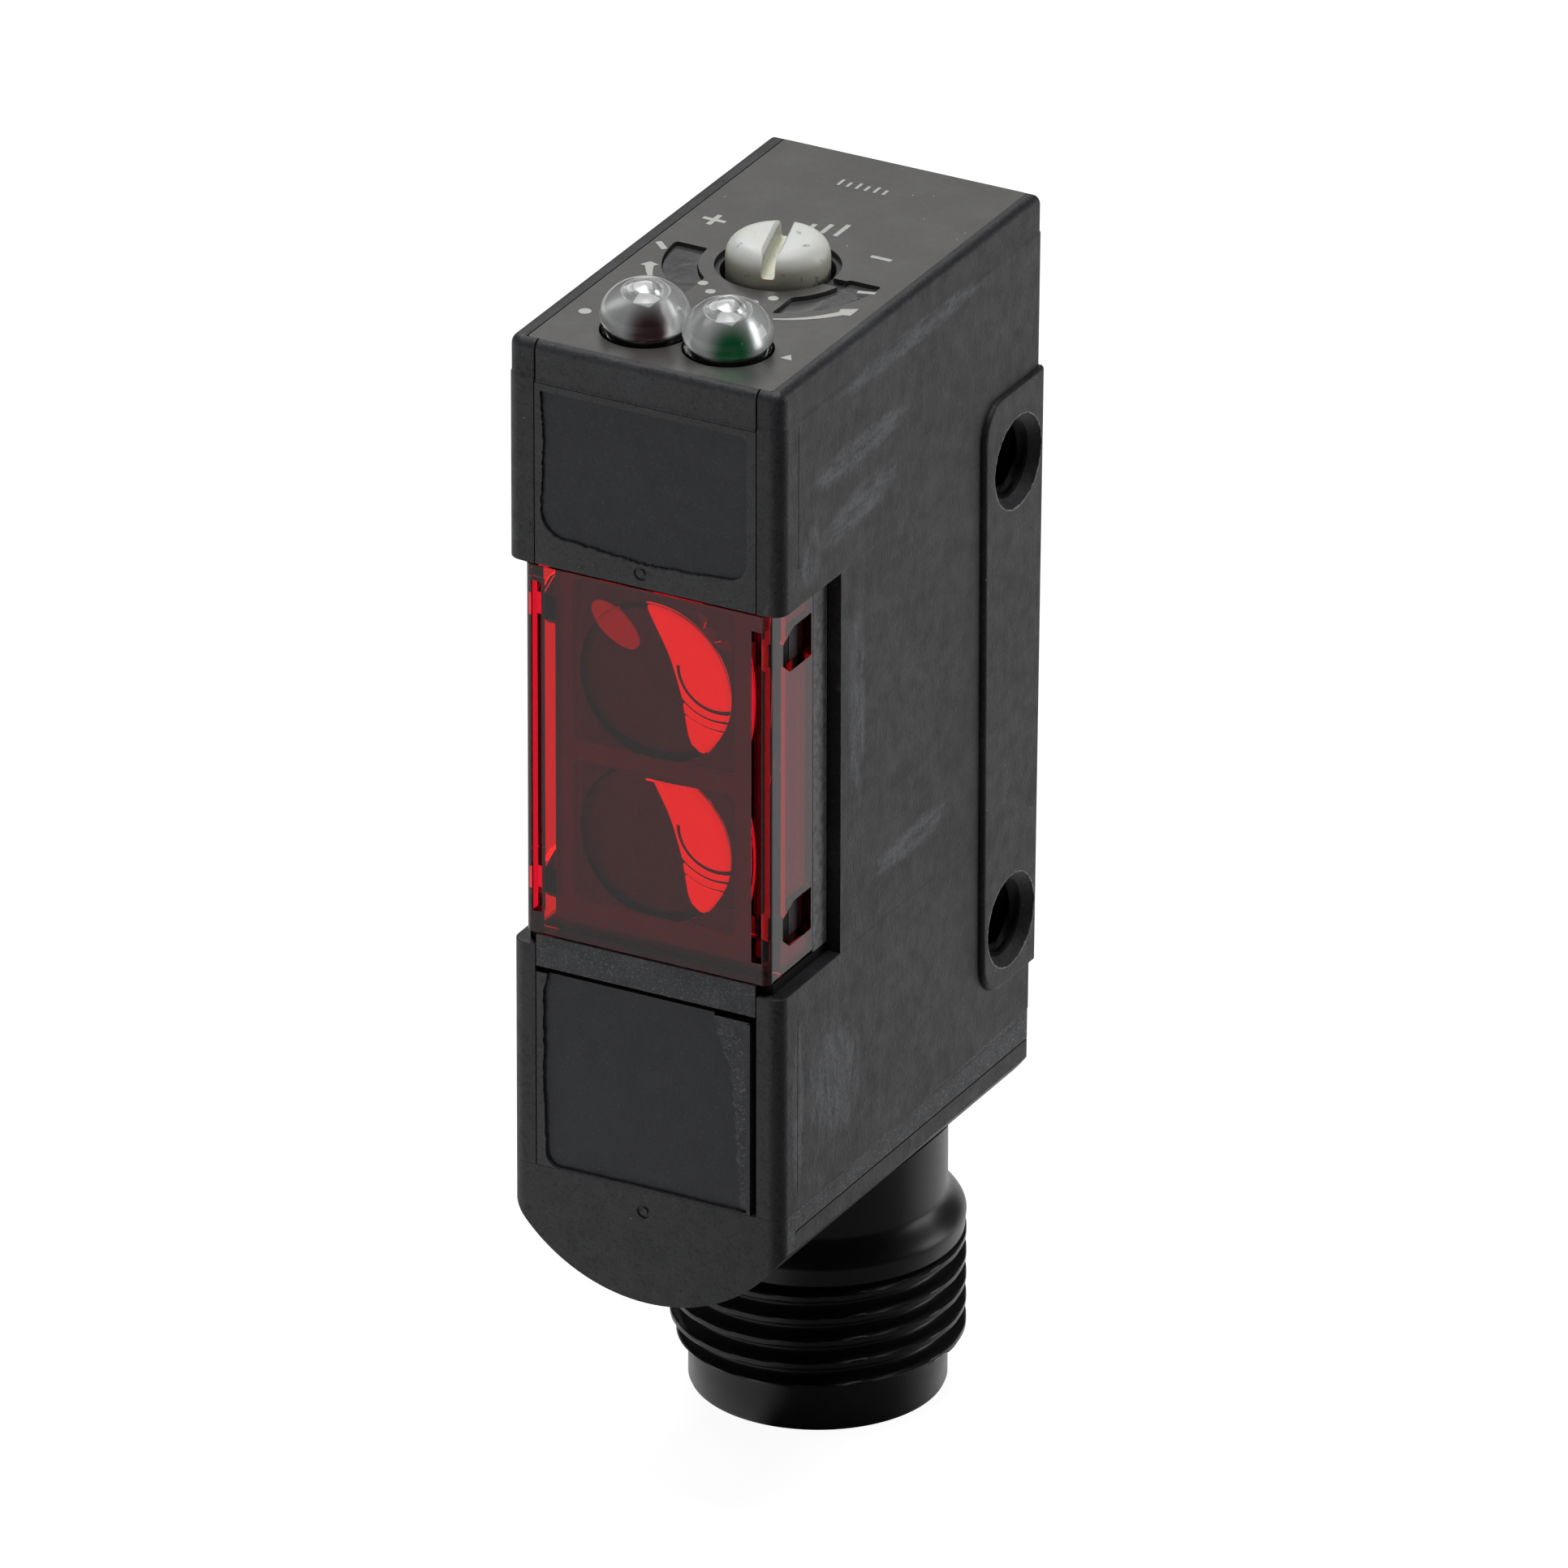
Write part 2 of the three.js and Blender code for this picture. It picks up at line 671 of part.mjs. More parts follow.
component("controller_ic", 1.8, 35.4, 5, 5, 0.95, material.chip);
component("output_driver_ic", 1.8, 25.6, 3.9, 4.9, 1.35, material.chip);
component("supply_regulator", 3.1, 20.4, 2.4, 2.9, 1.1, material.chip);
component("supply_capacitor", -0.2, 20.4, 1.6, 3.2, 1.6, material.ceramic);
component("filter_capacitor", 1.8, 30.4, 2.0, 1.25, 1.0, material.ceramic);

// A bent ribbon joins the optics board to the main board.
function ribbonOutline() {
  const thickness = 0.16;
  const x0 = mainBoardFace + 0.08;
  const y0 = fromFront(opticsBoardDistance + BOARD_THICKNESS + 0.08);
  const shape = new THREE.Shape();
  shape.moveTo(2.2, y0);
  shape.lineTo(2.2, y0 + thickness);
  shape.lineTo(x0 + 1, y0 + thickness);
  shape.lineTo(x0 + thickness, y0 + 1);
  shape.lineTo(x0 + thickness, -0.7);
  shape.lineTo(x0, -0.7);
  shape.lineTo(x0, y0 + 0.95);
  shape.lineTo(x0 + 0.95, y0);
  return shape;
}

piece("optics_ribbon", prism(ribbonOutline(), 38.6, 42.4), material.flex);

const topBoardZ = 44.3;
const topBoardTop = topBoardZ + BOARD_THICKNESS;

piece(
  "indicator_board",
  slab(4.5, [fromFront(1.95), 5.6], [topBoardZ, topBoardTop]),
  material.board,
);

const rotorFloor = 45.75;
const rotorRadius = 1.6;
const potentiometerTop = 46.9;

piece(
  "potentiometer_body",
  cut(
    slab(2.1, [-2.1, 2.1], [topBoardTop + 0.06, potentiometerTop]),
    post(0, 0, rotorFloor, potentiometerTop + 1, rotorRadius + 0.12, 32),
  ),
  material.chip,
);
piece(
  "potentiometer_rotor",
  cut(
    post(0, 0, rotorFloor + 0.1, potentiometerTop - 0.1, rotorRadius, 32),
    post(0, 0, rotorFloor - 1, potentiometerTop + 1, 0.78, 20),
  ),
  material.contact,
);

const indicators = [
  ["indicator_led_orange", domeX[0], material.ledOrange],
  ["indicator_led_green", domeX[1], material.ledGreen],
];
for (const [name, x, surface] of indicators) {
  const base = [topBoardTop + 0.06, topBoardTop + 0.6];
  const body = box([x - 0.8, x + 0.8], [domeY - 0.6, domeY + 0.6], base);
  const bulb = post(x, domeY, topBoardTop + 0.5, topBoardTop + 0.95, 0.5, 20, 0.4);
  piece(name, union(body, bulb), surface);
}

// ---------------------------------------------------------------- light guide

function dome(x) {
  const profile = [[0, 49.9], [DOME_RADIUS, 49.9], [DOME_RADIUS, DOME_CENTRE_Z]];
  const steps = 6;
  for (let i = 1; i < steps; i++) {
    const angle = (i * Math.PI) / (2 * steps);
    profile.push([DOME_RADIUS * Math.cos(angle), DOME_CENTRE_Z + DOME_RADIUS * Math.sin(angle)]);
  }
  profile.push([0, DOME_CENTRE_Z + DOME_RADIUS]);
  return turned(x, domeY, profile, 28);
}

const guideFloor = plateBottom + 0.6;
const pipeBottom = topBoardTop + 1.15;
const web = box(
  [DOME_MIDDLE_X - 0.5, DOME_MIDDLE_X + 0.5],
  [domeY - 0.4, domeY + 0.4],
  [guideFloor, recessFloor],
);

piece(
  "light_guide",
  union(
    guideOpening(0, guideFloor, recessFloor),
    web,
    ...domeX.map(dome),
    ...domeX.map((x) => post(x, domeY, pipeBottom, 50, 1.35, 28)),
  ),
  material.lightGuide,
);

// ---------------------------------------------------------------- sensitivity adjuster

const headBottom = 49.45;
const shaftBottom = 46.0;

function adjusterSolid() {
  const edge = 0.4;
  const profile = [
    [0, shaftBottom],
    [0.7, shaftBottom],
    [0.7, 47.1],
    [ADJUSTER_SHAFT, 47.1],
    [ADJUSTER_SHAFT, headBottom],
    [ADJUSTER_RADIUS, headBottom],
    [ADJUSTER_RADIUS, ADJUSTER_TOP - edge],
  ];
  const steps = 4;
  for (let i = 1; i <= steps; i++) {
    const angle = (i * Math.PI) / (2 * steps);
    profile.push([
      ADJUSTER_RADIUS - edge * (1 - Math.cos(angle)),
      ADJUSTER_TOP - edge * (1 - Math.sin(angle)),
    ]);
  }
  profile.push([0, ADJUSTER_TOP]);
  // The slot runs along X before it is turned to its angle.
  const slot = new THREE.BoxGeometry(6, SLOT_WIDTH, 2);
  slot.translate(0, 0, ADJUSTER_TOP - SLOT_DEPTH + 1);
  slot.rotateZ(SLOT_ANGLE);
  return cut(turned(0, 0, profile, 40), solid(slot));
}

// An O-ring about an upright axis.
function ring(x, y, z, radius, tube) {
  const geometry = new THREE.TorusGeometry(radius, tube, 8, 28);
  geometry.translate(x, y, z);
  return solid(geometry);
}

piece("adjuster_screw", adjusterSolid(), material.adjuster);
piece("adjuster_seal", ring(0, 0, 48.75, 1.79, 0.4), material.rubber);

// ---------------------------------------------------------------- connector

const sealZ = 12.75;
const spigotTop = 14.4;
const threadTop = THREAD_BOTTOM + THREAD_TURNS * THREAD_PITCH;

// The thread's outline is drawn as ridges of one pitch each.
function threadProfile() {
  const points = [];
  for (let i = 0; i < THREAD_TURNS; i++) {
    const z = THREAD_BOTTOM + i * THREAD_PITCH;
    points.push([THREAD_ROOT, z]);
    points.push([THREAD_ROOT, z + 0.18]);
    points.push([THREAD_RADIUS, z + 0.5]);
    points.push([THREAD_RADIUS, z + 0.68]);
  }
  return points;
}

const keyWidth = 0.9;
const keyReach = 3.75;

function connectorKey() {
  const geometry = new THREE.BoxGeometry(1.2, keyWidth, SOCKET_DEPTH - 0.6);
  geometry.translate(keyReach + 0.6, 0, 0.6 + (SOCKET_DEPTH - 0.6) / 2);
  geometry.rotateZ(Math.PI / 4);
  geometry.translate(0, connectorY, 0);
  return solid(geometry);
}

const insertSeat = SOCKET_RADIUS + 0.05;
const insertTop = 10.9;
const wireHole = 3.2;
const groove = SPIGOT_RADIUS - 0.5;
const connectorOutline = [
  [SOCKET_RADIUS, 0.3],
  [SOCKET_RADIUS + 0.3, 0],
  [SLEEVE_RADIUS - 0.25, 0],
  [SLEEVE_RADIUS, 0.25],
  [SLEEVE_RADIUS, THREAD_BOTTOM - 0.2],
  ...threadProfile(),
  [THREAD_ROOT, threadTop],
  [THREAD_RADIUS, threadTop + 0.2],
  [THREAD_RADIUS, 7.56],
  [THREAD_RADIUS - 0.12, 8.0],
  [THREAD_RADIUS - 0.4, 8.5],
  [NECK_RADIUS, 8.85],
  [NECK_RADIUS, spigotTop - 0.4],
  [SPIGOT_RADIUS, spigotTop - 0.4],
  [SPIGOT_RADIUS, spigotTop],
  [wireHole, spigotTop],
  [wireHole, insertTop],
  [insertSeat, insertTop],
  [insertSeat, SOCKET_DEPTH],
  [SOCKET_RADIUS, SOCKET_DEPTH],
  [SOCKET_RADIUS, 0.3],
];

// Above the belly the neck narrows to the spigot that enters the base cap.
const spigotOnly = cut(
  belly(0.1).intersect(box([-8, 8], [-9, 15], [8, 14.1])),
  post(0, connectorY, 7, 15, SPIGOT_RADIUS, 36),
);

piece(
  "connector_shell",
  cut(
    union(turned(0, connectorY, connectorOutline, 36), connectorKey()),
    spigotOnly,
    cut(
      post(0, connectorY, sealZ - 0.32, sealZ + 0.32, SPIGOT_RADIUS + 1, 36),
      post(0, connectorY, sealZ - 1, sealZ + 1, groove, 36),
    ),
  ),
  material.connector,
);
piece("connector_seal", ring(0, connectorY, sealZ, groove + 0.32, 0.27), material.rubber);

// The four pins, and the place of each one's lead in the row on the main board.
const leadOrder = [1, 3, 2, 0];
const pins = leadOrder.map((place, i) => {
  const angle = (i * Math.PI) / 2;
  return {
    name: `contact_pin_${i + 1}`,
    lead: `pin_lead_${i + 1}`,
    x: PIN_CIRCLE * Math.cos(angle),
    y: connectorY + PIN_CIRCLE * Math.sin(angle),
    landingY: 0.3 + 1.2 * place,
  };
});

piece(
  "contact_insert",
  cut(
    post(0, connectorY, SOCKET_DEPTH + 0.1, insertTop - 0.1, SOCKET_RADIUS - 0.05, 40),
    ...pins.map(({ x, y }) => post(x, y, 6, 12, PIN_RADIUS + 0.08, 16)),
  ),
  material.optics,
);

const pinBottom = 0.9;
const pinTop = 12.2;
for (const { name, x, y } of pins) {
  const profile = [
    [0, pinBottom],
    [PIN_RADIUS * 0.55, pinBottom + 0.05],
    [PIN_RADIUS, pinBottom + 0.5],
    [PIN_RADIUS, pinTop],
    [0, pinTop],
  ];
  piece(name, turned(x, y, profile, 16), material.contact);
}

// Each lead runs from its pin up to the lower end of the main board.
for (const { lead, x, y, landingY } of pins) {
  const landing = new THREE.Vector3(mainBoardFace + 0.5, landingY, 18.3);
  const route = new THREE.CatmullRomCurve3([
    new THREE.Vector3(x, y, pinTop + 0.1),
    new THREE.Vector3(x * 0.85, y * 0.85 + connectorY * 0.15, pinTop + 1.4),
    new THREE.Vector3((x + landing.x) / 2, (y + landing.y) / 2, 16.1),
    new THREE.Vector3(landing.x + 0.1, landing.y, 17.2),
    landing,
  ]);
  const section = new THREE.Shape();
  section.absarc(0, 0, 0.3, 0, 2 * Math.PI);
  const geometry = new THREE.ExtrudeGeometry(section, {
    steps: 12,
    curveSegments: 8,
    extrudePath: route,
  });
  piece(lead, solid(geometry), material.wire);
}

export default sensor;
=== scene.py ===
"""The looks of a compact block photoelectric sensor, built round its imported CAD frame.

Lengths are written in millimetres in the CAD's frame (+Z up, the sensing face towards -Y) and
become metres when a mesh is made.
"""

import json
import math
import random

import bmesh
import bpy
from mathutils import Matrix, Vector


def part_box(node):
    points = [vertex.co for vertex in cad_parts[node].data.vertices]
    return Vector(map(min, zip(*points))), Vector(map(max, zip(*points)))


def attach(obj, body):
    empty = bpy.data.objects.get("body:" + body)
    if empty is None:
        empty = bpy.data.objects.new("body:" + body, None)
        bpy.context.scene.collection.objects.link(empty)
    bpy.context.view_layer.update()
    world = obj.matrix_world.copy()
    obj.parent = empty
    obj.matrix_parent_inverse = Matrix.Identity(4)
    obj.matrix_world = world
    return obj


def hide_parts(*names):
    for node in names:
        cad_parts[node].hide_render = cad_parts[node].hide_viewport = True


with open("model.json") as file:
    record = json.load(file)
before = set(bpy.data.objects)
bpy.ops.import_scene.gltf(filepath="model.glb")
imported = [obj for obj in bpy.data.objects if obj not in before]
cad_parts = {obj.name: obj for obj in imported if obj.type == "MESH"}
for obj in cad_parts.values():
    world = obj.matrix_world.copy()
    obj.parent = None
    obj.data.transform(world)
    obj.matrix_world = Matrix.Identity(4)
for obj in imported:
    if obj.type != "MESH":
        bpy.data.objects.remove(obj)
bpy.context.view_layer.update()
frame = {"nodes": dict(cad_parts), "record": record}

MM = 0.001
SENSOR = "sensor_body"
ADJUSTER = "adjuster"


def box_mm(node):
    low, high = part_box(node)
    return low / MM, high / MM


# ---------------------------------------------------------------- places taken from the frame

housing_low, housing_high = box_mm("main_housing")
_, base_high = box_mm("base_cap")
insert_low, insert_high = box_mm("top_insert")
window_low, window_high = box_mm("red_window")
shell_low, shell_high = box_mm("connector_shell")
_, guide_high = box_mm("light_guide")
screw_low, screw_high = box_mm("adjuster_screw")
label_low, label_high = box_mm("top_label")

BASE_STEP = 0.12  # the base cap is this much narrower on each side
HALF = base_high.x + BASE_STEP
PAD_FACE = housing_high.x
FRONT = housing_low.y
BACK = housing_high.y
TOP = housing_high.z
BASE_SEAM = housing_low.z
SEAM_X = insert_high.x + 0.08  # the front seams between the housing's walls and the panels
CONNECTOR_AXIS = (0, (shell_low.y + shell_high.y) / 2)
WINDOW_FRONT = window_low.y
WINDOW_HALF = window_high.x
LEG_BACK = window_high.y

# ---------------------------------------------------------------- driving dimensions

BACK_LEAN = math.radians(1.16)
FRONT_CORNER = 0.6
BACK_CORNER = 0.35
TOP_EDGE = 0.4
COVER_LINE = 48.76  # the side faces step in above this height
PANEL_TOP = 48.66  # where the front panel ends under the insert's band
COVER_STEP = 0.04
UPPER_LEFT = 0.15  # the left side stands out by this above the window
CAVITY_HALF = 4.95
CAVITY_BACK = 6.0
BELLY_RADIUS = 7.2
BELLY_STEPS = 128
BELLY_SIDE = 12.9  # where the belly's cylinder meets the straight sides
BELLY_AXIS = BELLY_SIDE + math.sqrt(BELLY_RADIUS**2 - HALF**2)
BAND_FRONT = FRONT + 1.2  # where the step round the base begins on each side
LINE_Y = FRONT + 1.37  # the fine upright lines on the housing's sides
LINE_WIDTH = 0.045
LINE_DEPTH = 0.035
LINE_HEIGHTS = ((42.5, 48.6), (15.3, 22.9))
NOTCH = (24.25, 40.85)  # the window's notch; it and the window start where the photo shows
NOTCH_DEPTH = 4.98
NOTCH_ROUNDING = 0.45
WINDOW_LOW = 24.74
LABEL_GAP = 0.03
LABEL_RECESS = 0.25
PAD_Z = (17.1, 43.05)
PAD_FROM_FRONT = 16.6
PAD_CORNER = 1.5
HOLE_HEIGHTS = (39.8, 19.8)
HOLE_TO_BACK = 2.3
HOLE_CHAMFER = 2.02
HOLE_THREAD = (1.25, 1.5)
HOLE_PITCH = 0.5
DOME_X = (-1.68, 1.98)
DOME_Y = FRONT + 3.15
DOME_RADIUS = 1.8
SCREW_RADIUS = screw_high.x
SLOT_WIDTH = 0.55
SLOT_DEPTH = 0.95
SLOT_ANGLE = math.radians(107)
GUIDE_RING = (3.15, 4.55)
TONGUE_HALF = 1.95
OPTIC_HEIGHTS = (36.45, 29.5)
SNAP_HEIGHTS = (window_low.z + 1.3, window_high.z - 2.1)
SNAP_HALF = 0.92


def back_at(z):
    """The leaning back face's place in Y."""
    return BACK - (TOP - z) * math.tan(BACK_LEAN)


def on_side(side, near, far):
    """The limits in X between two distances from the middle; side is 1 (right) or -1 (left)."""
    return sorted((side * near, side * far))


# ---------------------------------------------------------------- mesh helpers


def mesh_object(name, vertices, faces):
    """An object from points in millimetres, its faces turned outwards."""
    mesh = bpy.data.meshes.new(name)
    mesh.from_pydata([Vector(v) * MM for v in vertices], [], faces)
    built = bmesh.new()
    built.from_mesh(mesh)
    bmesh.ops.recalc_face_normals(built, faces=built.faces)
    built.to_mesh(mesh)
    built.free()
    made = bpy.data.objects.new(name, mesh)
    bpy.context.scene.collection.objects.link(made)
    return made


def on_axis(axis, u, v, along):
    """A point from an outline's two coordinates and a place along the axis it is drawn on."""
    return {"X": (along, u, v), "Y": (u, along, v), "Z": (u, v, along)}[axis]


def loft(name, rings, closed=False):
    """A skin over rings of equal count; its ends are capped, or joined when it is closed."""
    count = len(rings[0])
    vertices = [point for ring in rings for point in ring]
    faces = []
    spans = len(rings) if closed else len(rings) - 1
    for level in range(spans):
        below = level * count
        above = ((level + 1) % len(rings)) * count
        for i in range(count):
            j = (i + 1) % count
            faces.append((below + i, below + j, above + j, above + i))
    if not closed:
        faces.append(tuple(reversed(range(count))))
        faces.append(tuple(range(len(vertices) - count, len(vertices))))
    return mesh_object(name, vertices, faces)


def prism(name, outline, axis, low, high, rim=0.0, corner=0.0):
    """An outline drawn along an axis, its corners and then its two rims rounded."""
    rings = [[on_axis(axis, u, v, place) for u, v in outline] for place in (low, high)]
    made = loft(name, rings)
    index = "XYZ".index(axis)
    built = bmesh.new()
    built.from_mesh(made.data)

    def along(e):
        return abs(e.verts[0].co[index] - e.verts[1].co[index]) > 1e-7

    if corner:
        sharp = [e for e in built.edges if along(e) and e.calc_face_angle(0) > math.radians(35)]
        round_edges(built, sharp, corner, 5)
    if rim:
        round_edges(built, [e for e in built.edges if not along(e)], rim, 3)
    built.to_mesh(made.data)
    built.free()
    return made


def round_edges(built, edges, width, segments):
    """Bevels the edges to a width in millimetres."""
    bmesh.ops.bevel(
        built,
        geom=edges,
        offset=width * MM,
        segments=segments,
        profile=0.5,
        affect="EDGES",
        clamp_overlap=True,
    )


def block(name, x, y, z):
    """A box between two limits on each axis."""
    return prism(name, [(x[0], y[0]), (x[1], y[0]), (x[1], y[1]), (x[0], y[1])], "Z", z[0], z[1])


def polar(centre, radius, angle):
    """The point on a circle at an angle in radians."""
    return centre[0] + radius * math.cos(angle), centre[1] + radius * math.sin(angle)


def arc(centre, radius, start, end, steps=8):
    """Points on a circle between two angles in degrees."""
    angles = [math.radians(start + (end - start) * i / steps) for i in range(steps + 1)]
    return [polar(centre, radius, a) for a in angles]


def rounded(u, v, radii, steps=6):
    """A rectangle with rounded corners; the radii go anticlockwise from the low corner."""
    corners = [(u[0], v[0], 1, 1, 180), (u[1], v[0], -1, 1, 270), (u[1], v[1], -1, -1, 0)]
    corners.append((u[0], v[1], 1, -1, 90))
    points = []
    for (x, y, sx, sy, start), r in zip(corners, radii):
        if r:
            points += arc((x + sx * r, y + sy * r), r, start, start + 90, steps)
        else:
            points.append((x, y))
    return points


def turned(name, profile, centre, steps=96, closed=False):
    """A shape turned about an upright axis from (radius, height) pairs."""
    turns = [2 * math.pi * i / steps for i in range(steps)]
    rings = [[(*polar(centre, radius, a), height) for a in turns] for radius, height in profile]
    return loft(name, rings, closed)


def rod(name, radius, centre, low, high, steps):
    """An upright cylinder, for a tool that drills a hole."""
    return turned(name, [(radius, low), (radius, high)], centre, steps)


def combine(target, tool, operation):
    """Applies a boolean with tool, and removes the tool."""
    modifier = target.modifiers.new("combine", "BOOLEAN")
    modifier.operation = operation
    modifier.solver = "EXACT"
    modifier.object = tool
    settle(target)
    bpy.data.objects.remove(tool)
    return target


def cut(target, *tools):
    """Takes each tool's shape away."""
    for tool in tools:
        combine(target, tool, "DIFFERENCE")
    return target


def union(target, *others):
    """Joins the other shapes to the target."""
    for other in others:
        combine(target, other, "UNION")
    return target


def settle(made):
    """Applies every modifier."""
    graph = bpy.context.evaluated_depsgraph_get()
    mesh = bpy.data.meshes.new_from_object(made.evaluated_get(graph))
    made.modifiers.clear()
    made.data = mesh


def smooth(made, angle=32):
    """Smooth shading that keeps flat faces flat and sharp edges sharp."""
    for face in made.data.polygons:
        face.use_smooth = True
    made.data.set_sharp_from_angle(angle=math.radians(angle))
    weighted = made.modifiers.new("weighted", "WEIGHTED_NORMAL")
    weighted.keep_sharp = True
    weighted.weight = 60
    settle(made)
    return made


def soften(made, chosen, width, segments):
    """Rounds the edges that chosen(a, b) picks by their two end points, in millimetres."""
    built = bmesh.new()
    built.from_mesh(made.data)
    edges = [e for e in built.edges if chosen(e.verts[0].co / MM, e.verts[1].co / MM)]
    round_edges(built, edges, width, segments)
    built.to_mesh(made.data)
    built.free()


def show(made, materials, replaces=(), body=SENSOR):
    """Gives a finished piece its materials and body, and hides the nodes it replaces."""
    for material in materials:
        made.data.materials.append(material)
    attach(made, body)
    if replaces:
        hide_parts(*replaces)


def paint(made, index, where):
    """Uses material number index on the faces whose centre and normal where(c, n) accepts."""
    for face in made.data.polygons:
        if where(face.center / MM, face.normal):
            face.material_index = index


# ---------------------------------------------------------------- material helpers


class Surface:
    """A Principled material whose patterns follow the object's own coordinates, in millimetres."""

    def __init__(self, name, color, roughness, **settings):
        self.material = bpy.data.materials.new(name)
        self.material.use_nodes = True
        self.tree = self.material.node_tree
        self.shader = self.tree.nodes["Principled BSDF"]
        self.shader.inputs["Base Color"].default_value = (*color, 1)
        self.shader.inputs["Roughness"].default_value = roughness
        for key, value in settings.items():
            socket = self.shader.inputs[key.replace("_", " ")]
            socket.default_value = (*value, 1) if isinstance(value, tuple) else value
        place = self.node("ShaderNodeTexCoord")
        scale = self.node("ShaderNodeVectorMath", operation="SCALE")
        scale.inputs["Scale"].default_value = 1 / MM
        self.link(place.outputs["Object"], scale.inputs[0])
        self.place = scale.outputs[0]

    def node(self, kind, **properties):
        made = self.tree.nodes.new(kind)
        for key, value in properties.items():
            setattr(made, key, value)
        return made

    def link(self, source, target):
        self.tree.links.new(source, target)

    def stretched(self, x, y, z, turn=(0, 0, 0)):
        """The coordinates scaled along each axis, so that a pattern shows as streaks."""
        mapping = self.node("ShaderNodeMapping")
        mapping.inputs["Scale"].default_value = (x, y, z)
        mapping.inputs["Rotation"].default_value = [math.radians(t) for t in turn]
        self.link(self.place, mapping.inputs["Vector"])
        return mapping.outputs[0]

    def noise(self, scale, detail, stretch=None, roughness=0.55):
        """A cloudy pattern; stretch holds the arguments of stretched()."""
        texture = self.node("ShaderNodeTexNoise")
        texture.inputs["Scale"].default_value = scale
        texture.inputs["Detail"].default_value = detail
        texture.inputs["Roughness"].default_value = roughness
        place = self.stretched(*stretch) if stretch else self.place
        self.link(place, texture.inputs["Vector"])
        return texture.outputs["Fac"]

    def ramp(self, value, low, high, start=0.0, end=1.0):
        """Maps low..high to start..end, held at both ends."""
        mapped = self.node("ShaderNodeMapRange", interpolation_type="SMOOTHSTEP")
        mapped.inputs["From Min"].default_value = low
        mapped.inputs["From Max"].default_value = high
        mapped.inputs["To Min"].default_value = start
        mapped.inputs["To Max"].default_value = end
        self.link(value, mapped.inputs["Value"])
        return mapped.outputs["Result"]

    def math(self, operation, a, b):
        """A sum on two values, each a number or another node's output."""
        made = self.node("ShaderNodeMath", operation=operation)
        for socket, value in zip(made.inputs, (a, b)):
            if isinstance(value, (int, float)):
                socket.default_value = value
            else:
                self.link(value, socket)
        return made.outputs[0]

    def axis(self, letter):
        """One of the coordinates."""
        split = self.node("ShaderNodeSeparateXYZ")
        self.link(self.place, split.inputs[0])
        return split.outputs[letter]

    def smear(self, y, z, half_y, half_z, lean=0):
        """A soft-edged oval on the side faces, cloudy inside: 1 at its middle, 0 outside."""
        mapping = self.node("ShaderNodeMapping", vector_type="TEXTURE")
        mapping.inputs["Location"].default_value = (0, y, z)
        mapping.inputs["Rotation"].default_value = (math.radians(lean), 0, 0)
        mapping.inputs["Scale"].default_value = (1000, half_y, half_z)
        self.link(self.place, mapping.inputs["Vector"])
        length = self.node("ShaderNodeVectorMath", operation="LENGTH")
        self.link(mapping.outputs[0], length.inputs[0])
        oval = self.ramp(length.outputs["Value"], 1.0, 0.3)
        drawn = (0.5, 1.5) if half_y > half_z else (1.5, 0.5)
        cloud = self.noise(1.3, 7.0, (1, *drawn, (lean, 0, 0)), 0.72)
        return self.ramp(self.math("MULTIPLY", oval, cloud), 0.28, 0.64)

    def specks(self, per_mm, radius, share):
        """Small dots scattered over the surface: 1 on a dot, 0 elsewhere."""
        cells = self.node("ShaderNodeTexVoronoi")
        cells.inputs["Scale"].default_value = per_mm
        self.link(self.place, cells.inputs["Vector"])
        near = self.ramp(cells.outputs["Distance"], radius * per_mm, radius * per_mm * 0.6)
        split = self.node("ShaderNodeSeparateColor")
        self.link(cells.outputs["Color"], split.inputs[0])
        kept = self.math("LESS_THAN", split.outputs[0], share)
        return self.math("MULTIPLY", near, kept)

    def tint(self, amount, color):
        """Lays a colour over the base colour, by amount."""
        mix = self.node("ShaderNodeMix", data_type="RGBA")
        base = self.shader.inputs["Base Color"]
        if base.is_linked:
            self.link(base.links[0].from_socket, mix.inputs["A"])
        else:
            mix.inputs["A"].default_value = base.default_value
        mix.inputs["B"].default_value = (*color, 1)
        self.link(amount, mix.inputs["Factor"])
        self.link(mix.outputs["Result"], base)

    def mottle(self, color, scale, detail, low, high, share=1.0, stretch=None, roughness=0.55):
        """Lays a colour over a noise where it rises from low to high, up to a share."""
        cloud = self.noise(scale, detail, stretch, roughness)
        self.tint(self.ramp(cloud, low, high, 0, share), color)

    def roughen(self, scale, detail, low, high):
        """Varies the roughness from low to high with a noise."""
        cloud = self.noise(scale, detail)
        self.link(self.ramp(cloud, 0, 1, low, high), self.shader.inputs["Roughness"])

    def bump(self, height, depth, strength):
        """Raises the surface by up to depth millimetres."""
        made = self.node("ShaderNodeBump")
        made.inputs["Strength"].default_value = strength
        made.inputs["Distance"].default_value = depth * MM
        self.link(height, made.inputs["Height"])
        normal = self.shader.inputs["Normal"]
        if normal.is_linked:
            self.link(normal.links[0].from_socket, made.inputs["Normal"])
        self.link(made.outputs["Normal"], normal)


def surface(name, color, roughness, mottles=(), specks=None, rough=None, bumps=(), **settings):
    """A material from its base and its patterns: the arguments of mottle, specks (and the dots'
    colour), roughen, and noise (then the bump's depth and strength)."""
    s = Surface(name, color, roughness, **settings)
    for pattern in mottles:
        s.mottle(*pattern)
    if specks:
        *dots, dot_color = specks
        s.tint(s.specks(*dots), dot_color)
    if rough:
        s.roughen(*rough)
    for scale, detail, depth, strength in bumps:
        s.bump(s.noise(scale, detail), depth, strength)
    return s.material


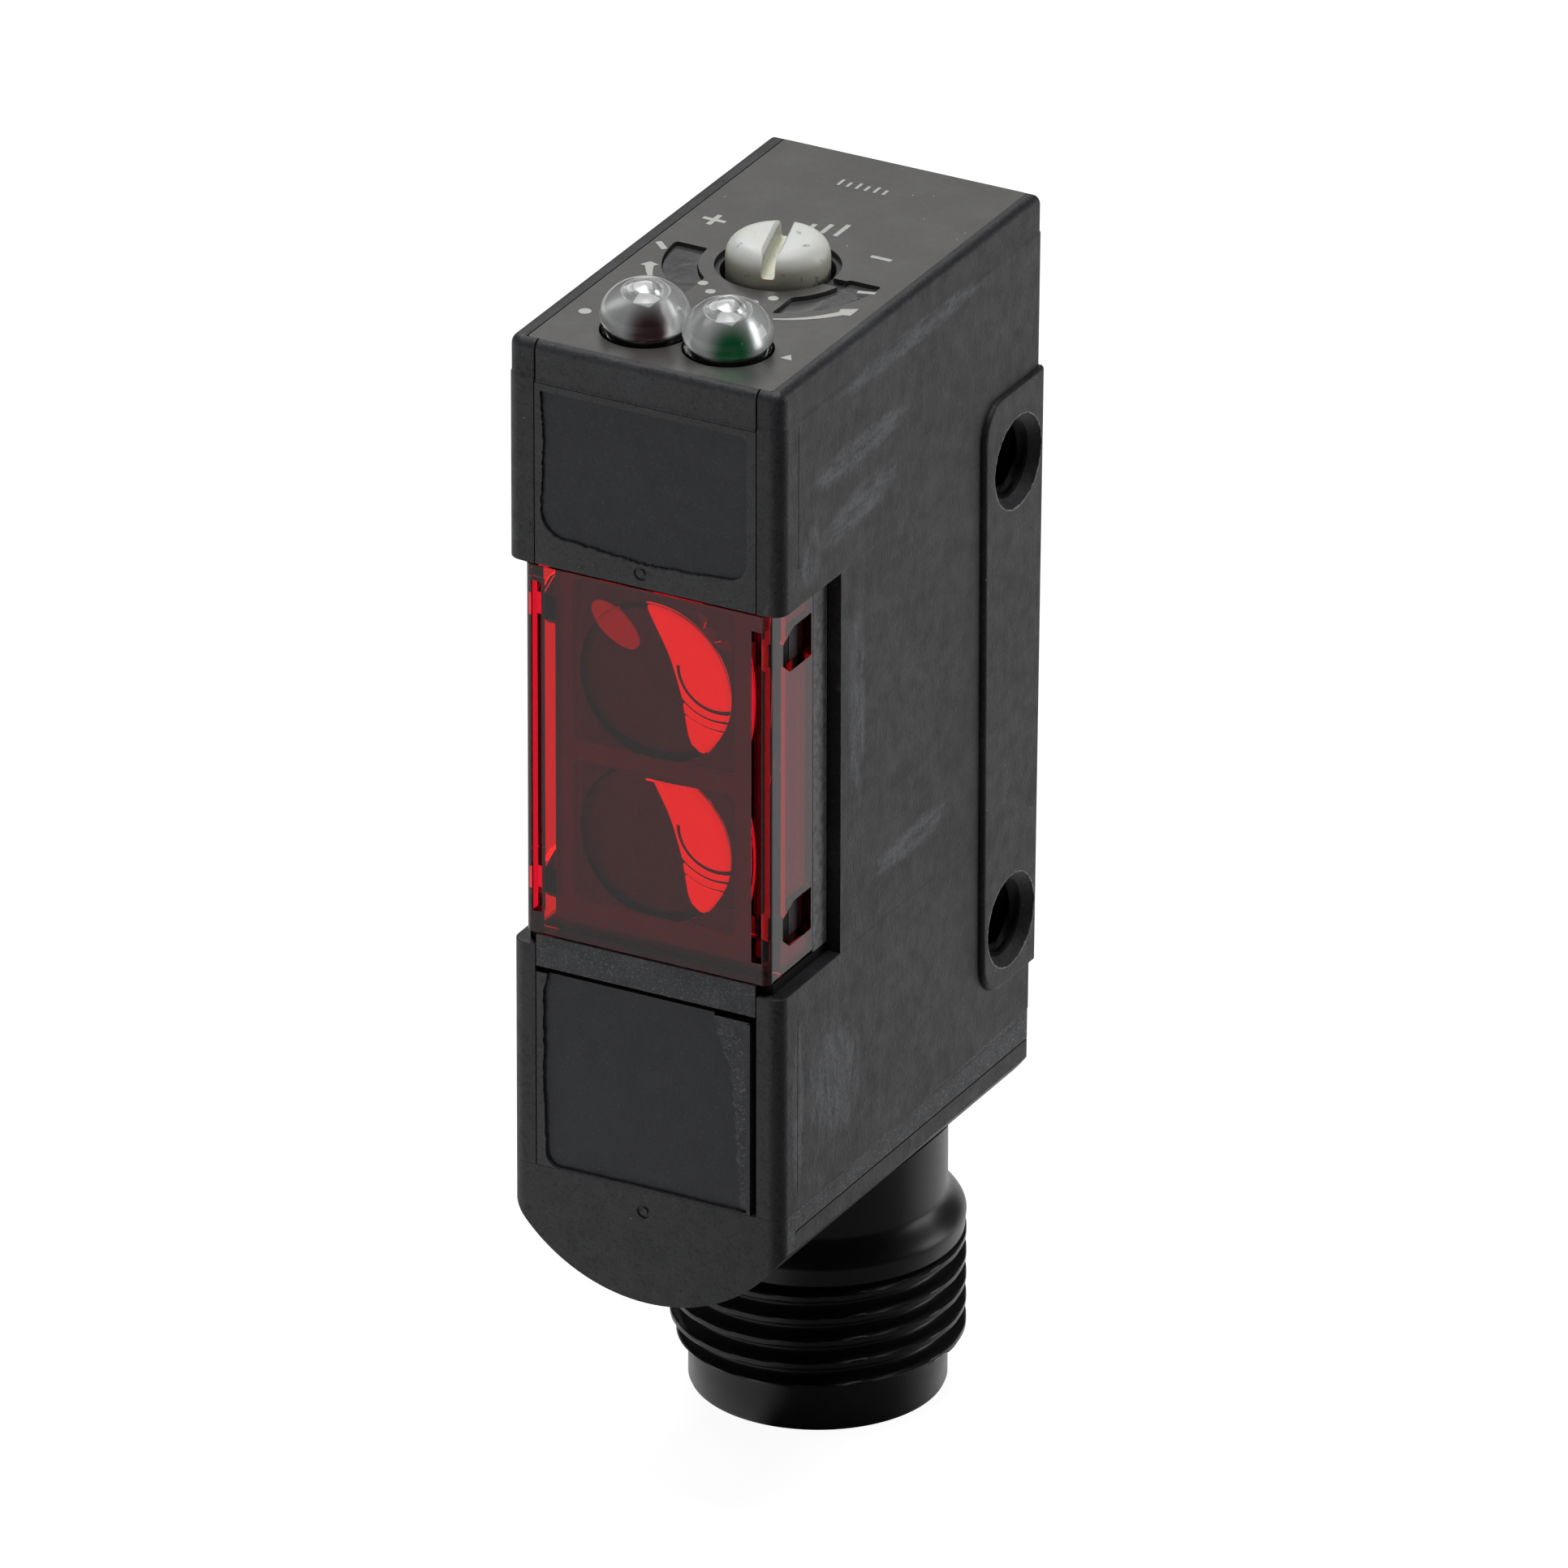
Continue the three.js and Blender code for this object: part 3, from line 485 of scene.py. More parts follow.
# Rubbed places on the sides: the middle in Y and Z, the half sizes, and the lean in degrees.
RUBBED = (
    (-4.5, 45.6, 7.5, 1.3, 2),
    (-4.5, 43.2, 6.0, 1.5, 7),
    (-8.4, 42.6, 1.6, 2.4, -12),
    (0.0, 48.6, 11.0, 0.9, 1),
    (-4.6, 34.5, 1.3, 8.0, 0),
    (0.0, 26.8, 6.0, 1.2, 3),
    (-6.5, 19.0, 4.0, 5.0, 15),
    (-9.5, 19.0, 0.9, 7.0, 0),
)
RUBBED_COLOR = (0.115, 0.12, 0.135)


def housing_plastic():
    """Glass-filled black plastic: a fine grain, cloudy rubbed patches, scratches and dust, with
    painted light on its front faces.
    """
    s = Surface("housing_plastic", (0.0125, 0.0128, 0.0145), 0.48, Specular_IOR_Level=0.38)
    s.mottle((0.038, 0.04, 0.046), 0.3, 6.0, 0.42, 0.8, 1, (1, 0.7, 1, (8, 0, 0)), 0.65)
    # Painted light: the faces at the very front are made lighter.
    front_painted_light = s.ramp(s.axis("Y"), FRONT + 0.35, FRONT + 0.1, 0, 0.75)
    s.tint(front_painted_light, (0.04, 0.041, 0.045))
    for place in RUBBED:
        s.tint(s.smear(*place), RUBBED_COLOR)
    s.mottle((0.09, 0.093, 0.1), 1.6, 2.0, 0.72, 0.75, 0.5, (1, 9, 0.5, (8, 0, 0)))
    s.mottle((0.006, 0.006, 0.008), 6.0, 3.0, 0.5, 0.28, 0.75)
    s.mottle((0.1, 0.1, 0.108), 9.0, 2.0, 0.6, 0.78, 0.5, (1, 1.2, 0.6))
    s.tint(s.specks(1.3, 0.035, 0.16), (0.32, 0.32, 0.31))
    s.roughen(1.4, 4.0, 0.4, 0.62)
    s.bump(s.noise(7.0, 4.0), 0.03, 0.7)
    s.bump(s.noise(1.6, 2.0, (1, 2.2, 0.5)), 0.03, 0.35)
    return s.material


def screw_plastic():
    """Off-white nylon with a slightly yellow slot and small dark scuffs."""
    s = Surface(
        "screw_plastic",
        (0.6, 0.61, 0.59),
        0.36,
        Subsurface_Weight=0.15,
        Subsurface_Scale=0.0006,
    )
    s.mottle((0.58, 0.59, 0.5), 0.9, 3.0, 0.45, 0.75, 0.5)
    deep = s.ramp(s.axis("Z"), screw_high.z - 0.2, screw_high.z - SLOT_DEPTH, 0, 0.6)
    s.tint(deep, (0.6, 0.6, 0.42))
    s.mottle((0.12, 0.12, 0.11), 2.6, 5.0, 0.63, 0.7, 0.65)
    s.roughen(3.0, 3.0, 0.3, 0.5)
    s.bump(s.noise(5.0, 3.0), 0.015, 0.5)
    return s.material


def painted_reflection_core(name, x, glow):
    """The inside of the indicator dome at x, painted silver in place of the dome's inner
    reflection; glow colours a painted glow spot at its lower front.
    """
    s = Surface(name, (0.88, 0.88, 0.87), 0.26, Metallic=0.5)
    ahead_x, ahead_y = 0.47, 0.88  # the painted glow spot faces this way in X and -Y
    right = s.math("SUBTRACT", s.axis("X"), x)
    ahead = s.math("SUBTRACT", DOME_Y, s.axis("Y"))
    forward = s.math(
        "ADD", s.math("MULTIPLY", right, ahead_x), s.math("MULTIPLY", ahead, ahead_y)
    )
    across = s.math(
        "SUBTRACT", s.math("MULTIPLY", right, ahead_y), s.math("MULTIPLY", ahead, ahead_x)
    )
    across = s.math("SUBTRACT", across, 0.12)
    up = s.math("SUBTRACT", s.axis("Z"), TOP + 0.35)
    spread = s.math(
        "ADD",
        s.math("MULTIPLY", across, across),
        s.math("MULTIPLY", s.math("MULTIPLY", up, up), 0.7),
    )
    spot = s.math("MULTIPLY", s.ramp(forward, 0.2, 0.7), s.ramp(spread, 0.95, 0.1))
    s.tint(spot, glow)
    # Painted shade: the core turns dark towards its foot, at and below the top face.
    s.tint(s.ramp(s.axis("Z"), TOP + 0.2, TOP - 0.1), (0.06, 0.06, 0.06))
    s.roughen(1.5, 2.0, 0.24, 0.28)
    return s.material


def solder_mask():
    """A green board with raised tracks."""
    s = Surface("solder_mask", (0.012, 0.09, 0.04), 0.35)
    tracks = s.ramp(s.noise(1.4, 0.0, (0.3, 1, 3)), 0.52, 0.54)
    s.tint(tracks, (0.02, 0.14, 0.06))
    s.bump(tracks, 0.02, 0.6)
    return s.material


def moulded(name, color, roughness):
    """A plain moulded or fired part: chips, capacitors, film and wire insulation."""
    lighter = tuple(min(1.0, c * 1.6 + 0.01) for c in color)
    return surface(
        name,
        color,
        roughness,
        mottles=[(lighter, 3.0, 4.0, 0.45, 0.75, 0.5)],
        rough=(4.0, 3.0, roughness - 0.08, roughness + 0.1),
        bumps=[(10.0, 3.0, 0.01, 0.6)],
    )


HOUSING = housing_plastic()
SCREW = screw_plastic()

# The front panels' satin black plastic, scuffed and lightly speckled.
PANEL = surface(
    "frame_plastic",
    (0.043, 0.044, 0.048),
    0.48,
    Specular_IOR_Level=0.4,
    mottles=[
        ((0.062, 0.064, 0.07), 0.5, 4.0, 0.5, 0.75, 0.7),
        ((0.012, 0.012, 0.014), 6.0, 3.0, 0.5, 0.28, 0.7),
        ((0.14, 0.145, 0.15), 10.0, 2.0, 0.62, 0.76, 0.6, (0.6, 1, 1.6, (0, 20, 0))),
    ],
    specks=(1.6, 0.03, 0.2, (0.35, 0.35, 0.33)),
    rough=(2.0, 4.0, 0.4, 0.6),
    bumps=[(8.0, 4.0, 0.03, 0.7)],
)

# The moulded floors of the front pockets: smooth and slightly blue.
POCKET = surface(
    "pocket_plastic",
    (0.018, 0.0195, 0.024),
    0.42,
    Specular_IOR_Level=0.36,
    mottles=[
        ((0.028, 0.03, 0.036), 0.35, 3.0, 0.45, 0.75, 0.5),
        ((0.05, 0.054, 0.062), 8.0, 2.0, 0.55, 0.75, 0.5),
    ],
    specks=(1.1, 0.035, 0.22, (0.13, 0.135, 0.15)),
    rough=(1.1, 3.0, 0.36, 0.5),
    bumps=[(6.0, 3.0, 0.016, 0.6)],
)

# Flash and rough-cut strips of the same plastic.
TORN = surface(
    "torn_plastic",
    (0.048, 0.05, 0.055),
    0.55,
    Specular_IOR_Level=0.4,
    mottles=[
        ((0.075, 0.077, 0.083), 0.9, 3.0, 0.4, 0.7, 0.8),
        ((0.26, 0.265, 0.275), 11.0, 6.0, 0.52, 0.68, 0.9, (0.7, 0.7, 1.2), 0.75),
    ],
    rough=(3.0, 3.0, 0.45, 0.7),
    bumps=[(9.0, 5.0, 0.04, 0.8)],
)

# The pale matt strip beside the window.
STRIP = surface(
    "strip_plastic",
    (0.26, 0.26, 0.27),
    0.6,
    Specular_IOR_Level=0.4,
    mottles=[((0.13, 0.13, 0.135), 3.0, 4.0, 0.4, 0.65, 0.7)],
    rough=(3.0, 3.0, 0.5, 0.75),
    bumps=[(4.0, 5.0, 0.06, 0.9)],
)

# Clear red acrylic.
RED = surface(
    "red_acrylic",
    (0.83, 0.012, 0.03),
    0.03,
    Transmission_Weight=1.0,
    IOR=1.44,
    rough=(1.5, 2.0, 0.0, 0.06),
    bumps=[(0.35, 1.0, 0.01, 0.06)],
)

# Satin dark grey film with a little dust.
LABEL = surface(
    "label_film",
    (0.045, 0.0435, 0.04),
    0.34,
    Specular_IOR_Level=0.4,
    mottles=[((0.1, 0.098, 0.092), 0.4, 3.0, 0.4, 0.8, 0.35)],
    specks=(1.4, 0.04, 0.3, (0.5, 0.5, 0.46)),
    rough=(2.5, 3.0, 0.28, 0.42),
    bumps=[(6.0, 3.0, 0.008, 0.5)],
)

INK = surface(
    "print_ink",
    (0.42, 0.42, 0.4),
    0.5,
    mottles=[((0.36, 0.36, 0.34), 7.0, 3.0, 0.45, 0.7, 0.6)],
    bumps=[(12.0, 2.0, 0.006, 0.5)],
)

CLEAR = surface(
    "clear_plastic",
    (0.93, 0.94, 0.95),
    0.03,
    Transmission_Weight=1.0,
    IOR=1.49,
    rough=(1.2, 2.0, 0.0, 0.06),
)

# Grey, glossy plastic of the light guide's flat arms.
GUIDE = surface(
    "guide_plastic",
    (0.05, 0.05, 0.052),
    0.16,
    Coat_Weight=0.5,
    mottles=[((0.09, 0.09, 0.092), 0.9, 3.0, 0.4, 0.7, 0.6)],
    bumps=[(1.5, 2.0, 0.02, 0.4)],
)

# Smooth satin black plastic.
CONNECTOR = surface(
    "connector_plastic",
    (0.0095, 0.0095, 0.0105),
    0.3,
    Specular_IOR_Level=0.3,
    mottles=[((0.0075, 0.0075, 0.009), 0.6, 3.0, 0.5, 0.8, 0.5)],
    rough=(1.8, 4.0, 0.28, 0.36),
    bumps=[(5.0, 3.0, 0.001, 0.3)],
)

# The black chamber behind the lenses; the same near-black is painted shade inside the mounting
# holes and under the window.
OPTICS = surface(
    "black_optics",
    (0.002, 0.002, 0.002),
    0.5,
    Specular_IOR_Level=0.15,
    rough=(3.0, 3.0, 0.42, 0.6),
    bumps=[(6.0, 3.0, 0.02, 0.5)],
)

# A painted glow: the bright side of a lens, standing in for light reflected inside it, glows red
# behind the window.
GLOW = (1.0, 0.03, 0.07)
PAINTED_LENS_GLOW = surface(
    "painted_glow_lens",
    (0.35, 0.01, 0.015),
    0.35,
    Emission_Color=GLOW,
    Emission_Strength=0.8,
    mottles=[((0.3, 0.01, 0.01), 0.5, 2.0, 0.4, 0.7, 0.6)],
    rough=(2.0, 2.0, 0.3, 0.45),
    bumps=[(0.8, 2.0, 0.02, 0.4)],
)

# A faint painted reflection of the lenses' painted glow.
PAINTED_REFLECTION = surface(
    "painted_faint_reflection",
    (0.2, 0.01, 0.01),
    0.4,
    Emission_Color=GLOW,
    Emission_Strength=0.2,
    rough=(2.0, 2.0, 0.35, 0.5),
    bumps=[(0.8, 2.0, 0.02, 0.4)],
)

# The mask round the lenses, seen through the red window.
MASK = surface(
    "mask_plastic",
    (0.1, 0.075, 0.075),
    0.6,
    Specular_IOR_Level=0.3,
    mottles=[((0.17, 0.12, 0.12), 0.6, 3.0, 0.45, 0.75, 0.5)],
    rough=(3.0, 3.0, 0.5, 0.7),
    bumps=[(4.0, 3.0, 0.02, 0.5)],
)

RUBBER = surface(
    "black_rubber",
    (0.012, 0.012, 0.012),
    0.75,
    rough=(4.0, 3.0, 0.65, 0.85),
    bumps=[(9.0, 3.0, 0.02, 0.6)],
)

GOLD = surface(
    "gold_plate",
    (0.9, 0.68, 0.3),
    0.25,
    Metallic=1.0,
    mottles=[((0.7, 0.48, 0.2), 2.0, 3.0, 0.5, 0.8, 0.5)],
    rough=(5.0, 4.0, 0.18, 0.38),
)

# The materials of the CAD nodes that are shown as they are, by slot.
CAD_MATERIALS = {
    "board": solder_mask(),
    "chip": moulded("chip_epoxy", (0.012, 0.012, 0.014), 0.5),
    "ceramic": moulded("ceramic", (0.45, 0.33, 0.2), 0.5),
    "flex": moulded("amber_film", (0.5, 0.2, 0.04), 0.35),
    "wire": moulded("wire_insulation", (0.2, 0.05, 0.03), 0.5),
    "led_green": moulded("led_green", (0.03, 0.4, 0.1), 0.3),
    "led_orange": moulded("led_orange", (0.5, 0.15, 0.03), 0.3),
    "contact": GOLD,
    "rubber": RUBBER,
    "optics": OPTICS,
    "lens": CLEAR,
}

# ---------------------------------------------------------------- camera, lights and floor

AZIMUTH = math.radians(28.26)
ELEVATION = math.radians(25.81)
ROLL = math.radians(0.08)
DISTANCE = 1000.0
SENSOR_WIDTH = 36.0
FOCAL_LENGTH = 581.0
AIM = Vector((0.0, 0.075, 31.63))
AIM_OFFSET = (0.22, -3.51)  # the aim point's place right of and below the picture's middle


def make_camera():
    """The photo's view, from a camera fitted to the body's edges."""
    back = Vector(
        (
            math.sin(AZIMUTH) * math.cos(ELEVATION),
            -math.cos(AZIMUTH) * math.cos(ELEVATION),
            math.sin(ELEVATION),
        )
    )
    level = Vector((math.cos(AZIMUTH), math.sin(AZIMUTH), 0))
    upright = back.cross(level)
    right = math.cos(ROLL) * level + math.sin(ROLL) * upright
    up = math.cos(ROLL) * upright - math.sin(ROLL) * level
    data = bpy.data.cameras.new("camera")
    data.sensor_width = SENSOR_WIDTH
    data.lens = FOCAL_LENGTH
    made = bpy.data.objects.new("camera", data)
    bpy.context.scene.collection.objects.link(made)
    place = AIM + DISTANCE * back + AIM_OFFSET[0] * right + AIM_OFFSET[1] * up
    turn = Matrix((right, up, back)).transposed().to_4x4()
    made.matrix_world = Matrix.Translation(place * MM) @ turn
    bpy.context.scene.camera = made


def area_light(name, place, target, size, power):
    """A rectangular light at place that faces target; millimetres and watts."""
    data = bpy.data.lights.new(name, "AREA")
    data.shape = "RECTANGLE"
    data.size = size[0] * MM
    data.size_y = size[1] * MM
    data.energy = power
    made = bpy.data.objects.new(name, data)
    made.location = Vector(place) * MM
    direction = (Vector(target) - Vector(place)).normalized()
    made.rotation_euler = direction.to_track_quat("-Z", "Y").to_euler()
    bpy.context.scene.collection.objects.link(made)


SHADED_SIDE = Vector((0.88, -0.47, 0))  # the studio is dark towards the camera's right
ROOM_LIGHT = 0.74


def shaded_light(tree, direction, dark):
    """The room's light from a direction: dark on its shaded side, bright all round the rest."""


    def vector(operation, source, other=None):
        made = tree.nodes.new("ShaderNodeVectorMath")
        made.operation = operation
        tree.links.new(source, made.inputs[0])
        if other:
            made.inputs[1].default_value = other
        return made

    flat = vector("MULTIPLY", direction, (1, 1, 0))
    unit = vector("NORMALIZE", flat.outputs[0])
    facing = vector("DOT_PRODUCT", unit.outputs[0], SHADED_SIDE)
    level = tree.nodes.new("ShaderNodeMapRange")
    level.interpolation_type = "SMOOTHSTEP"
    level.inputs["From Min"].default_value = 0.25
    level.inputs["From Max"].default_value = 0.8
    level.inputs["To Min"].default_value = ROOM_LIGHT
    level.inputs["To Max"].default_value = dark
    tree.links.new(facing.outputs["Value"], level.inputs["Value"])
    return level.outputs["Result"]


def make_world():
    """A white tent with one shaded side."""
    world = bpy.data.worlds.new("studio")
    bpy.context.scene.world = world
    world.use_nodes = True
    tree = world.node_tree
    place = tree.nodes.new("ShaderNodeTexCoord")
    level = shaded_light(tree, place.outputs["Generated"], DARK_ROOM)
    tree.links.new(level, tree.nodes["Background"].inputs["Strength"])


FLOOR_REACH = 2500
DARK_ROOM = 0.1  # the light that is left on the shaded side, from the room
DARK_FLOOR = 0.03  # and from the floor


def make_floor():
    """A floor that shows white to the camera and lights the piece as the room does."""
    size = FLOOR_REACH
    floor = mesh_object(
        "floor",
        [(-size, -size, 0), (size, -size, 0), (size, size, 0), (-size, size, 0)],
        [(0, 1, 2, 3)],
    )
    material = bpy.data.materials.new("floor_white")
    material.use_nodes = True
    tree = material.node_tree
    shader = tree.nodes["Principled BSDF"]
    shader.inputs["Base Color"].default_value = (0.2, 0.2, 0.2, 1)
    shader.inputs["Roughness"].default_value = 0.9
    shader.inputs["Specular IOR Level"].default_value = 0.0
    shader.inputs["Emission Color"].default_value = (1, 1, 1, 1)
    place = tree.nodes.new("ShaderNodeTexCoord")
    level = shaded_light(tree, place.outputs["Object"], DARK_FLOOR)
    path = tree.nodes.new("ShaderNodeLightPath")
    shown = tree.nodes.new("ShaderNodeMapRange")
    shown.inputs["To Max"].default_value = 0.95
    tree.links.new(path.outputs["Is Camera Ray"], shown.inputs["Value"])
    tree.links.new(level, shown.inputs["To Min"])
    tree.links.new(shown.outputs["Result"], shader.inputs["Emission Strength"])
    floor.data.materials.append(material)


make_camera()
make_world()
make_floor()
area_light("top_softbox", (-250, 300, 420), (0, 0, 30), (300, 300), 0.9)
area_light("overhead", (0, 0, 420), (0, 0, 30), (260, 260), 1.3)
area_light("right_softbox", (420, 330, 120), (0, 0, 20), (220, 300), 0.8)
bpy.context.scene.view_settings.view_transform = "Standard"

# ---------------------------------------------------------------- housing


def body_ring(z, inset=0.0, step=0.0):
    """The body's level outline at height z, anticlockwise from its front right corner."""
    right = HALF - step
    left = right + (UPPER_LEFT if z > NOTCH[1] - 1 else 0)
    back = back_at(z)
    points = []
    corners = [
        (right - FRONT_CORNER, FRONT + FRONT_CORNER, FRONT_CORNER, -90),
        (right - BACK_CORNER, back - BACK_CORNER, BACK_CORNER, 0),
        (-left + BACK_CORNER, back - BACK_CORNER, BACK_CORNER, 90),
        (-left + FRONT_CORNER, FRONT + FRONT_CORNER, FRONT_CORNER, 180),
    ]
    for x, y, radius, start in corners:
        shrink = max(0.0, inset - radius + 0.03)
        x -= math.copysign(shrink, x)
        y -= math.copysign(shrink, y)
        points += arc((x, y), max(radius - inset, 0.03), start, start + 90, 8)
    return [(x, y, z) for x, y in points]


def body_form(low, high, step=0.0):
    """The outer form between two heights, with the rounded top edge where it gets there."""
    rings = []
    if low < COVER_LINE:
        rings = [body_ring(z, 0, step) for z in (low, *NOTCH) if low <= z < high]
    if high < TOP:
        rings.append(body_ring(high, 0, step))
    else:
        if low < COVER_LINE:
            rings.append(body_ring(COVER_LINE, 0, step))
        rings.append(body_ring(max(low, COVER_LINE + 0.1), COVER_STEP, step))
        for i in range(7):
            turn = math.radians(90 * i / 6)
            inset = COVER_STEP + TOP_EDGE * (1 - math.cos(turn))
            rings.append(body_ring(TOP - TOP_EDGE * (1 - math.sin(turn)), inset, step))
    return loft("body_form", rings)


def pad_solid(side):
    """The raised mounting pad on one side face."""
    y0 = FRONT + PAD_FROM_FRONT
    z0, z1 = PAD_Z
    outline = [
        (back_at(z0) - 0.1, z0),
        (back_at(z1) - 0.1, z1),
        *arc((y0 + PAD_CORNER, z1 - PAD_CORNER), PAD_CORNER, 90, 180),
        *arc((y0 + PAD_CORNER, z0 + PAD_CORNER), PAD_CORNER, 180, 270),
    ]
    return prism("pad", outline, "X", *on_side(side, HALF - 0.8, PAD_FACE), rim=0.17)


def hole_tool(z):
    """A threaded rod with a cone at each end, along X."""
    y = back_at(z) - HOLE_TO_BACK
    root, crest = HOLE_THREAD
    reach = PAD_FACE + 0.25
    step = HOLE_PITCH / 6
    count = int(2 * reach / step)
    steps = 36
    rings = []
    for k in range(count + 1):
        x = -reach + 2 * reach * k / count
        ring = []
        for i in range(steps):
            share = i / steps
            phase = (x / HOLE_PITCH - share) % 1.0
            ridge = 1 - abs(2 * phase - 1)
            radius = root + (crest - root) * min(1.0, ridge * 1.25)
            radius = max(radius, HOLE_CHAMFER - (PAD_FACE - abs(x)))
            a = 2 * math.pi * share
            ring.append((x, y + radius * math.cos(a), z + radius * math.sin(a)))
        rings.append(ring)
    return loft("hole_tool", rings)


def label_recess():
    """A tool for the shallow recess that the top label lies in."""
    return block(
        "label_recess",
        (-label_high.x - LABEL_GAP, label_high.x + LABEL_GAP),
        (label_low.y - LABEL_GAP, label_high.y + LABEL_GAP),
        (TOP - LABEL_RECESS, TOP + 1),
    )


def notch_edge(a, b):
    """Whether an edge runs along the notch's mouth, outside the front panels."""
    level = any(abs(a.z - z) < 1e-3 and abs(b.z - z) < 1e-3 for z in NOTCH)
    outer = all(abs(p.x) > HALF - 1e-3 or p.y < FRONT + FRONT_CORNER + 1e-3 for p in (a, b))
    return level and outer and min(abs(a.x), abs(b.x)) > SEAM_X + 0.03


def in_bore(c, _):
    """Whether a face's centre lies inside a mounting hole."""
    return any(
        math.hypot(c.y - back_at(z) + HOLE_TO_BACK, c.z - z) < HOLE_THREAD[1] + 0.08
        for z in HOLE_HEIGHTS
    )


def make_housing():
    """The main housing, with its pads, holes, the window's notch and the fine lines near it."""
    made = body_form(BASE_SEAM, TOP)
    union(made, pad_solid(1), pad_solid(-1))
    cut(
        made,
        block("cavity", (-CAVITY_HALF, CAVITY_HALF), (FRONT - 1, CAVITY_BACK), (0, 60)),
        label_recess(),
        block("notch", (-8, 8), (FRONT - 1, FRONT + NOTCH_DEPTH), NOTCH),
    )
    soften(made, notch_edge, NOTCH_ROUNDING, 5)
    cut(made, *[hole_tool(z) for z in HOLE_HEIGHTS])
    for side in (1, -1):
        rough = ragged([(BACK + 1, 15.05), (FRONT + 1.35, 14.5)], 0.03, 21, 0.25)
        outline = [(BAND_FRONT, 14.0), (BACK + 1, 14.0), *rough]
        cut(made, prism("band", outline, "X", *on_side(side, base_high.x, HALF + 1)))
    for side in (1, -1):
        x = on_side(side, HALF - LINE_DEPTH, HALF + 1)
        for z in LINE_HEIGHTS:
            cut(made, block("line", x, (LINE_Y, LINE_Y + LINE_WIDTH), z))
    smooth(made)
    paint(made, 1, lambda c, n: abs(n.x) > 0.9 and c.z < 15.1 and c.y > FRONT + 1.3)
    # Painted shade: the faces inside the mounting holes get the near-black optics material.
    paint(made, 2, in_bore)
    show(made, [HOUSING, TORN, OPTICS], ["main_housing"])


def make_burrs():
    """A fine torn burr round the mouth of each mounting hole."""
    noise = random.Random(31)
    steps = 90
    for side, word in ((1, "right"), (-1, "left")):
        for height, level in zip(HOLE_HEIGHTS, ("upper", "lower")):
            y = back_at(height) - HOLE_TO_BACK
            rings = []
            for i in range(steps):
                a = 2 * math.pi * i / steps
                low = HOLE_CHAMFER - 0.03 - noise.uniform(0, 0.05)
                rings.append(
                    [
                        (side * x, y + radius * math.cos(a), height + radius * math.sin(a))
                        for radius, x in (
                            (low, PAD_FACE - 0.05),
                            (HOLE_CHAMFER + 0.02, PAD_FACE - 0.05),
                            (HOLE_CHAMFER, PAD_FACE - 0.001),
                            (low, PAD_FACE - 0.001),
                        )
                    ]
                )
            show(loft(f"burr_{word}_{level}", rings, closed=True), [STRIP])


def belly(low, high, radius):
    """The cylinder along Y that the rounded underside follows."""
    turns = [2 * math.pi * i / BELLY_STEPS for i in range(BELLY_STEPS)]
    outline = [polar((0, BELLY_AXIS), radius, a) for a in turns]
    return loft("belly", [[(x, y, z) for x, z in outline] for y in (low, high)])


def ejector_mark(x, z):
    """A small round dimple with a raised middle, as a cutting tool."""
    made = turned("mark", [(0.16, -0.06), (0.16, 1), (0.3, 1), (0.3, -0.06)], (0, 0), 32, True)
    made.data.transform(Matrix.Rotation(math.pi / 2, 4, "X"))
    made.data.transform(Matrix.Translation(Vector((x, FRONT, z)) * MM))
    return made


def make_base():
    """The base cap, with its rounded underside and the connector's bore."""
    made = body_form(8, BASE_SEAM - 0.012)
    outline = [
        (BAND_FRONT, 8),
        (BACK + 1, 8),
        (BACK + 1, 15.1),
        (BAND_FRONT + 0.15, 14.45),
        (BAND_FRONT, 14.2),
    ]
    for side in (1, -1):
        cut(made, prism("band", outline, "X", *on_side(side, base_high.x, HALF + 1)))
    combine(made, belly(FRONT - 3, BACK + 3, BELLY_RADIUS), "INTERSECT")
    cut(
        made,
        block("well", (-4.6, 4.6), (FRONT + 1.1, CAVITY_BACK), (13.6, 20)),
        rod("bore", 4.42, CONNECTOR_AXIS, 8, 16, 72),
    )
    for side in (1, -1):
        x = on_side(side, base_high.x - 0.05, HALF + 1)
        cut(made, block("line", x, (BAND_FRONT, BACK + 1), (13.5, 13.56)))
    cut(made, ejector_mark(-0.1, 13.63))
    smooth(made)
    paint(made, 1, lambda c, n: abs(n.x) > 0.9 and c.z > 13.56 and c.y > FRONT + 1.3)
    show(made, [HOUSING, TORN], ["base_cap"])


def dome_holes(radius):
    """Tools for the openings round the two domes."""
    return [rod("dome_hole", radius, (x, DOME_Y), 40, 60, 64) for x in DOME_X]


def make_insert():
    """The top insert: a band at the front, a skirt inside, and the wells of domes and screw."""
    bottom = PANEL_TOP + 0.025
    half = insert_high.x
    made = combine(
        body_form(bottom, TOP),
        block("plug", (-half, half), (FRONT - 1, insert_high.y), (bottom, TOP + 1)),
        "INTERSECT",
    )
    union(
        made,
        block("skirt", (-half, half), (FRONT + 1.9, insert_high.y), (insert_low.z, bottom + 0.2)),
    )
    cut(
        made,
        label_recess(),
        guide_solid("guide_slot", 0.06, 40, TOP + 1),
        *dome_holes(1.84),
        rod("screw_well", 2.3, (0, 0), 48.05, 60, 64),
        rod("shaft_hole", 1.45, (0, 0), 40, 60, 48),
    )
    smooth(made)
    paint(made, 1, lambda c, n: n.y < -0.5)
    show(made, [HOUSING, PANEL], ["top_insert"])


# ---------------------------------------------------------------- front panels


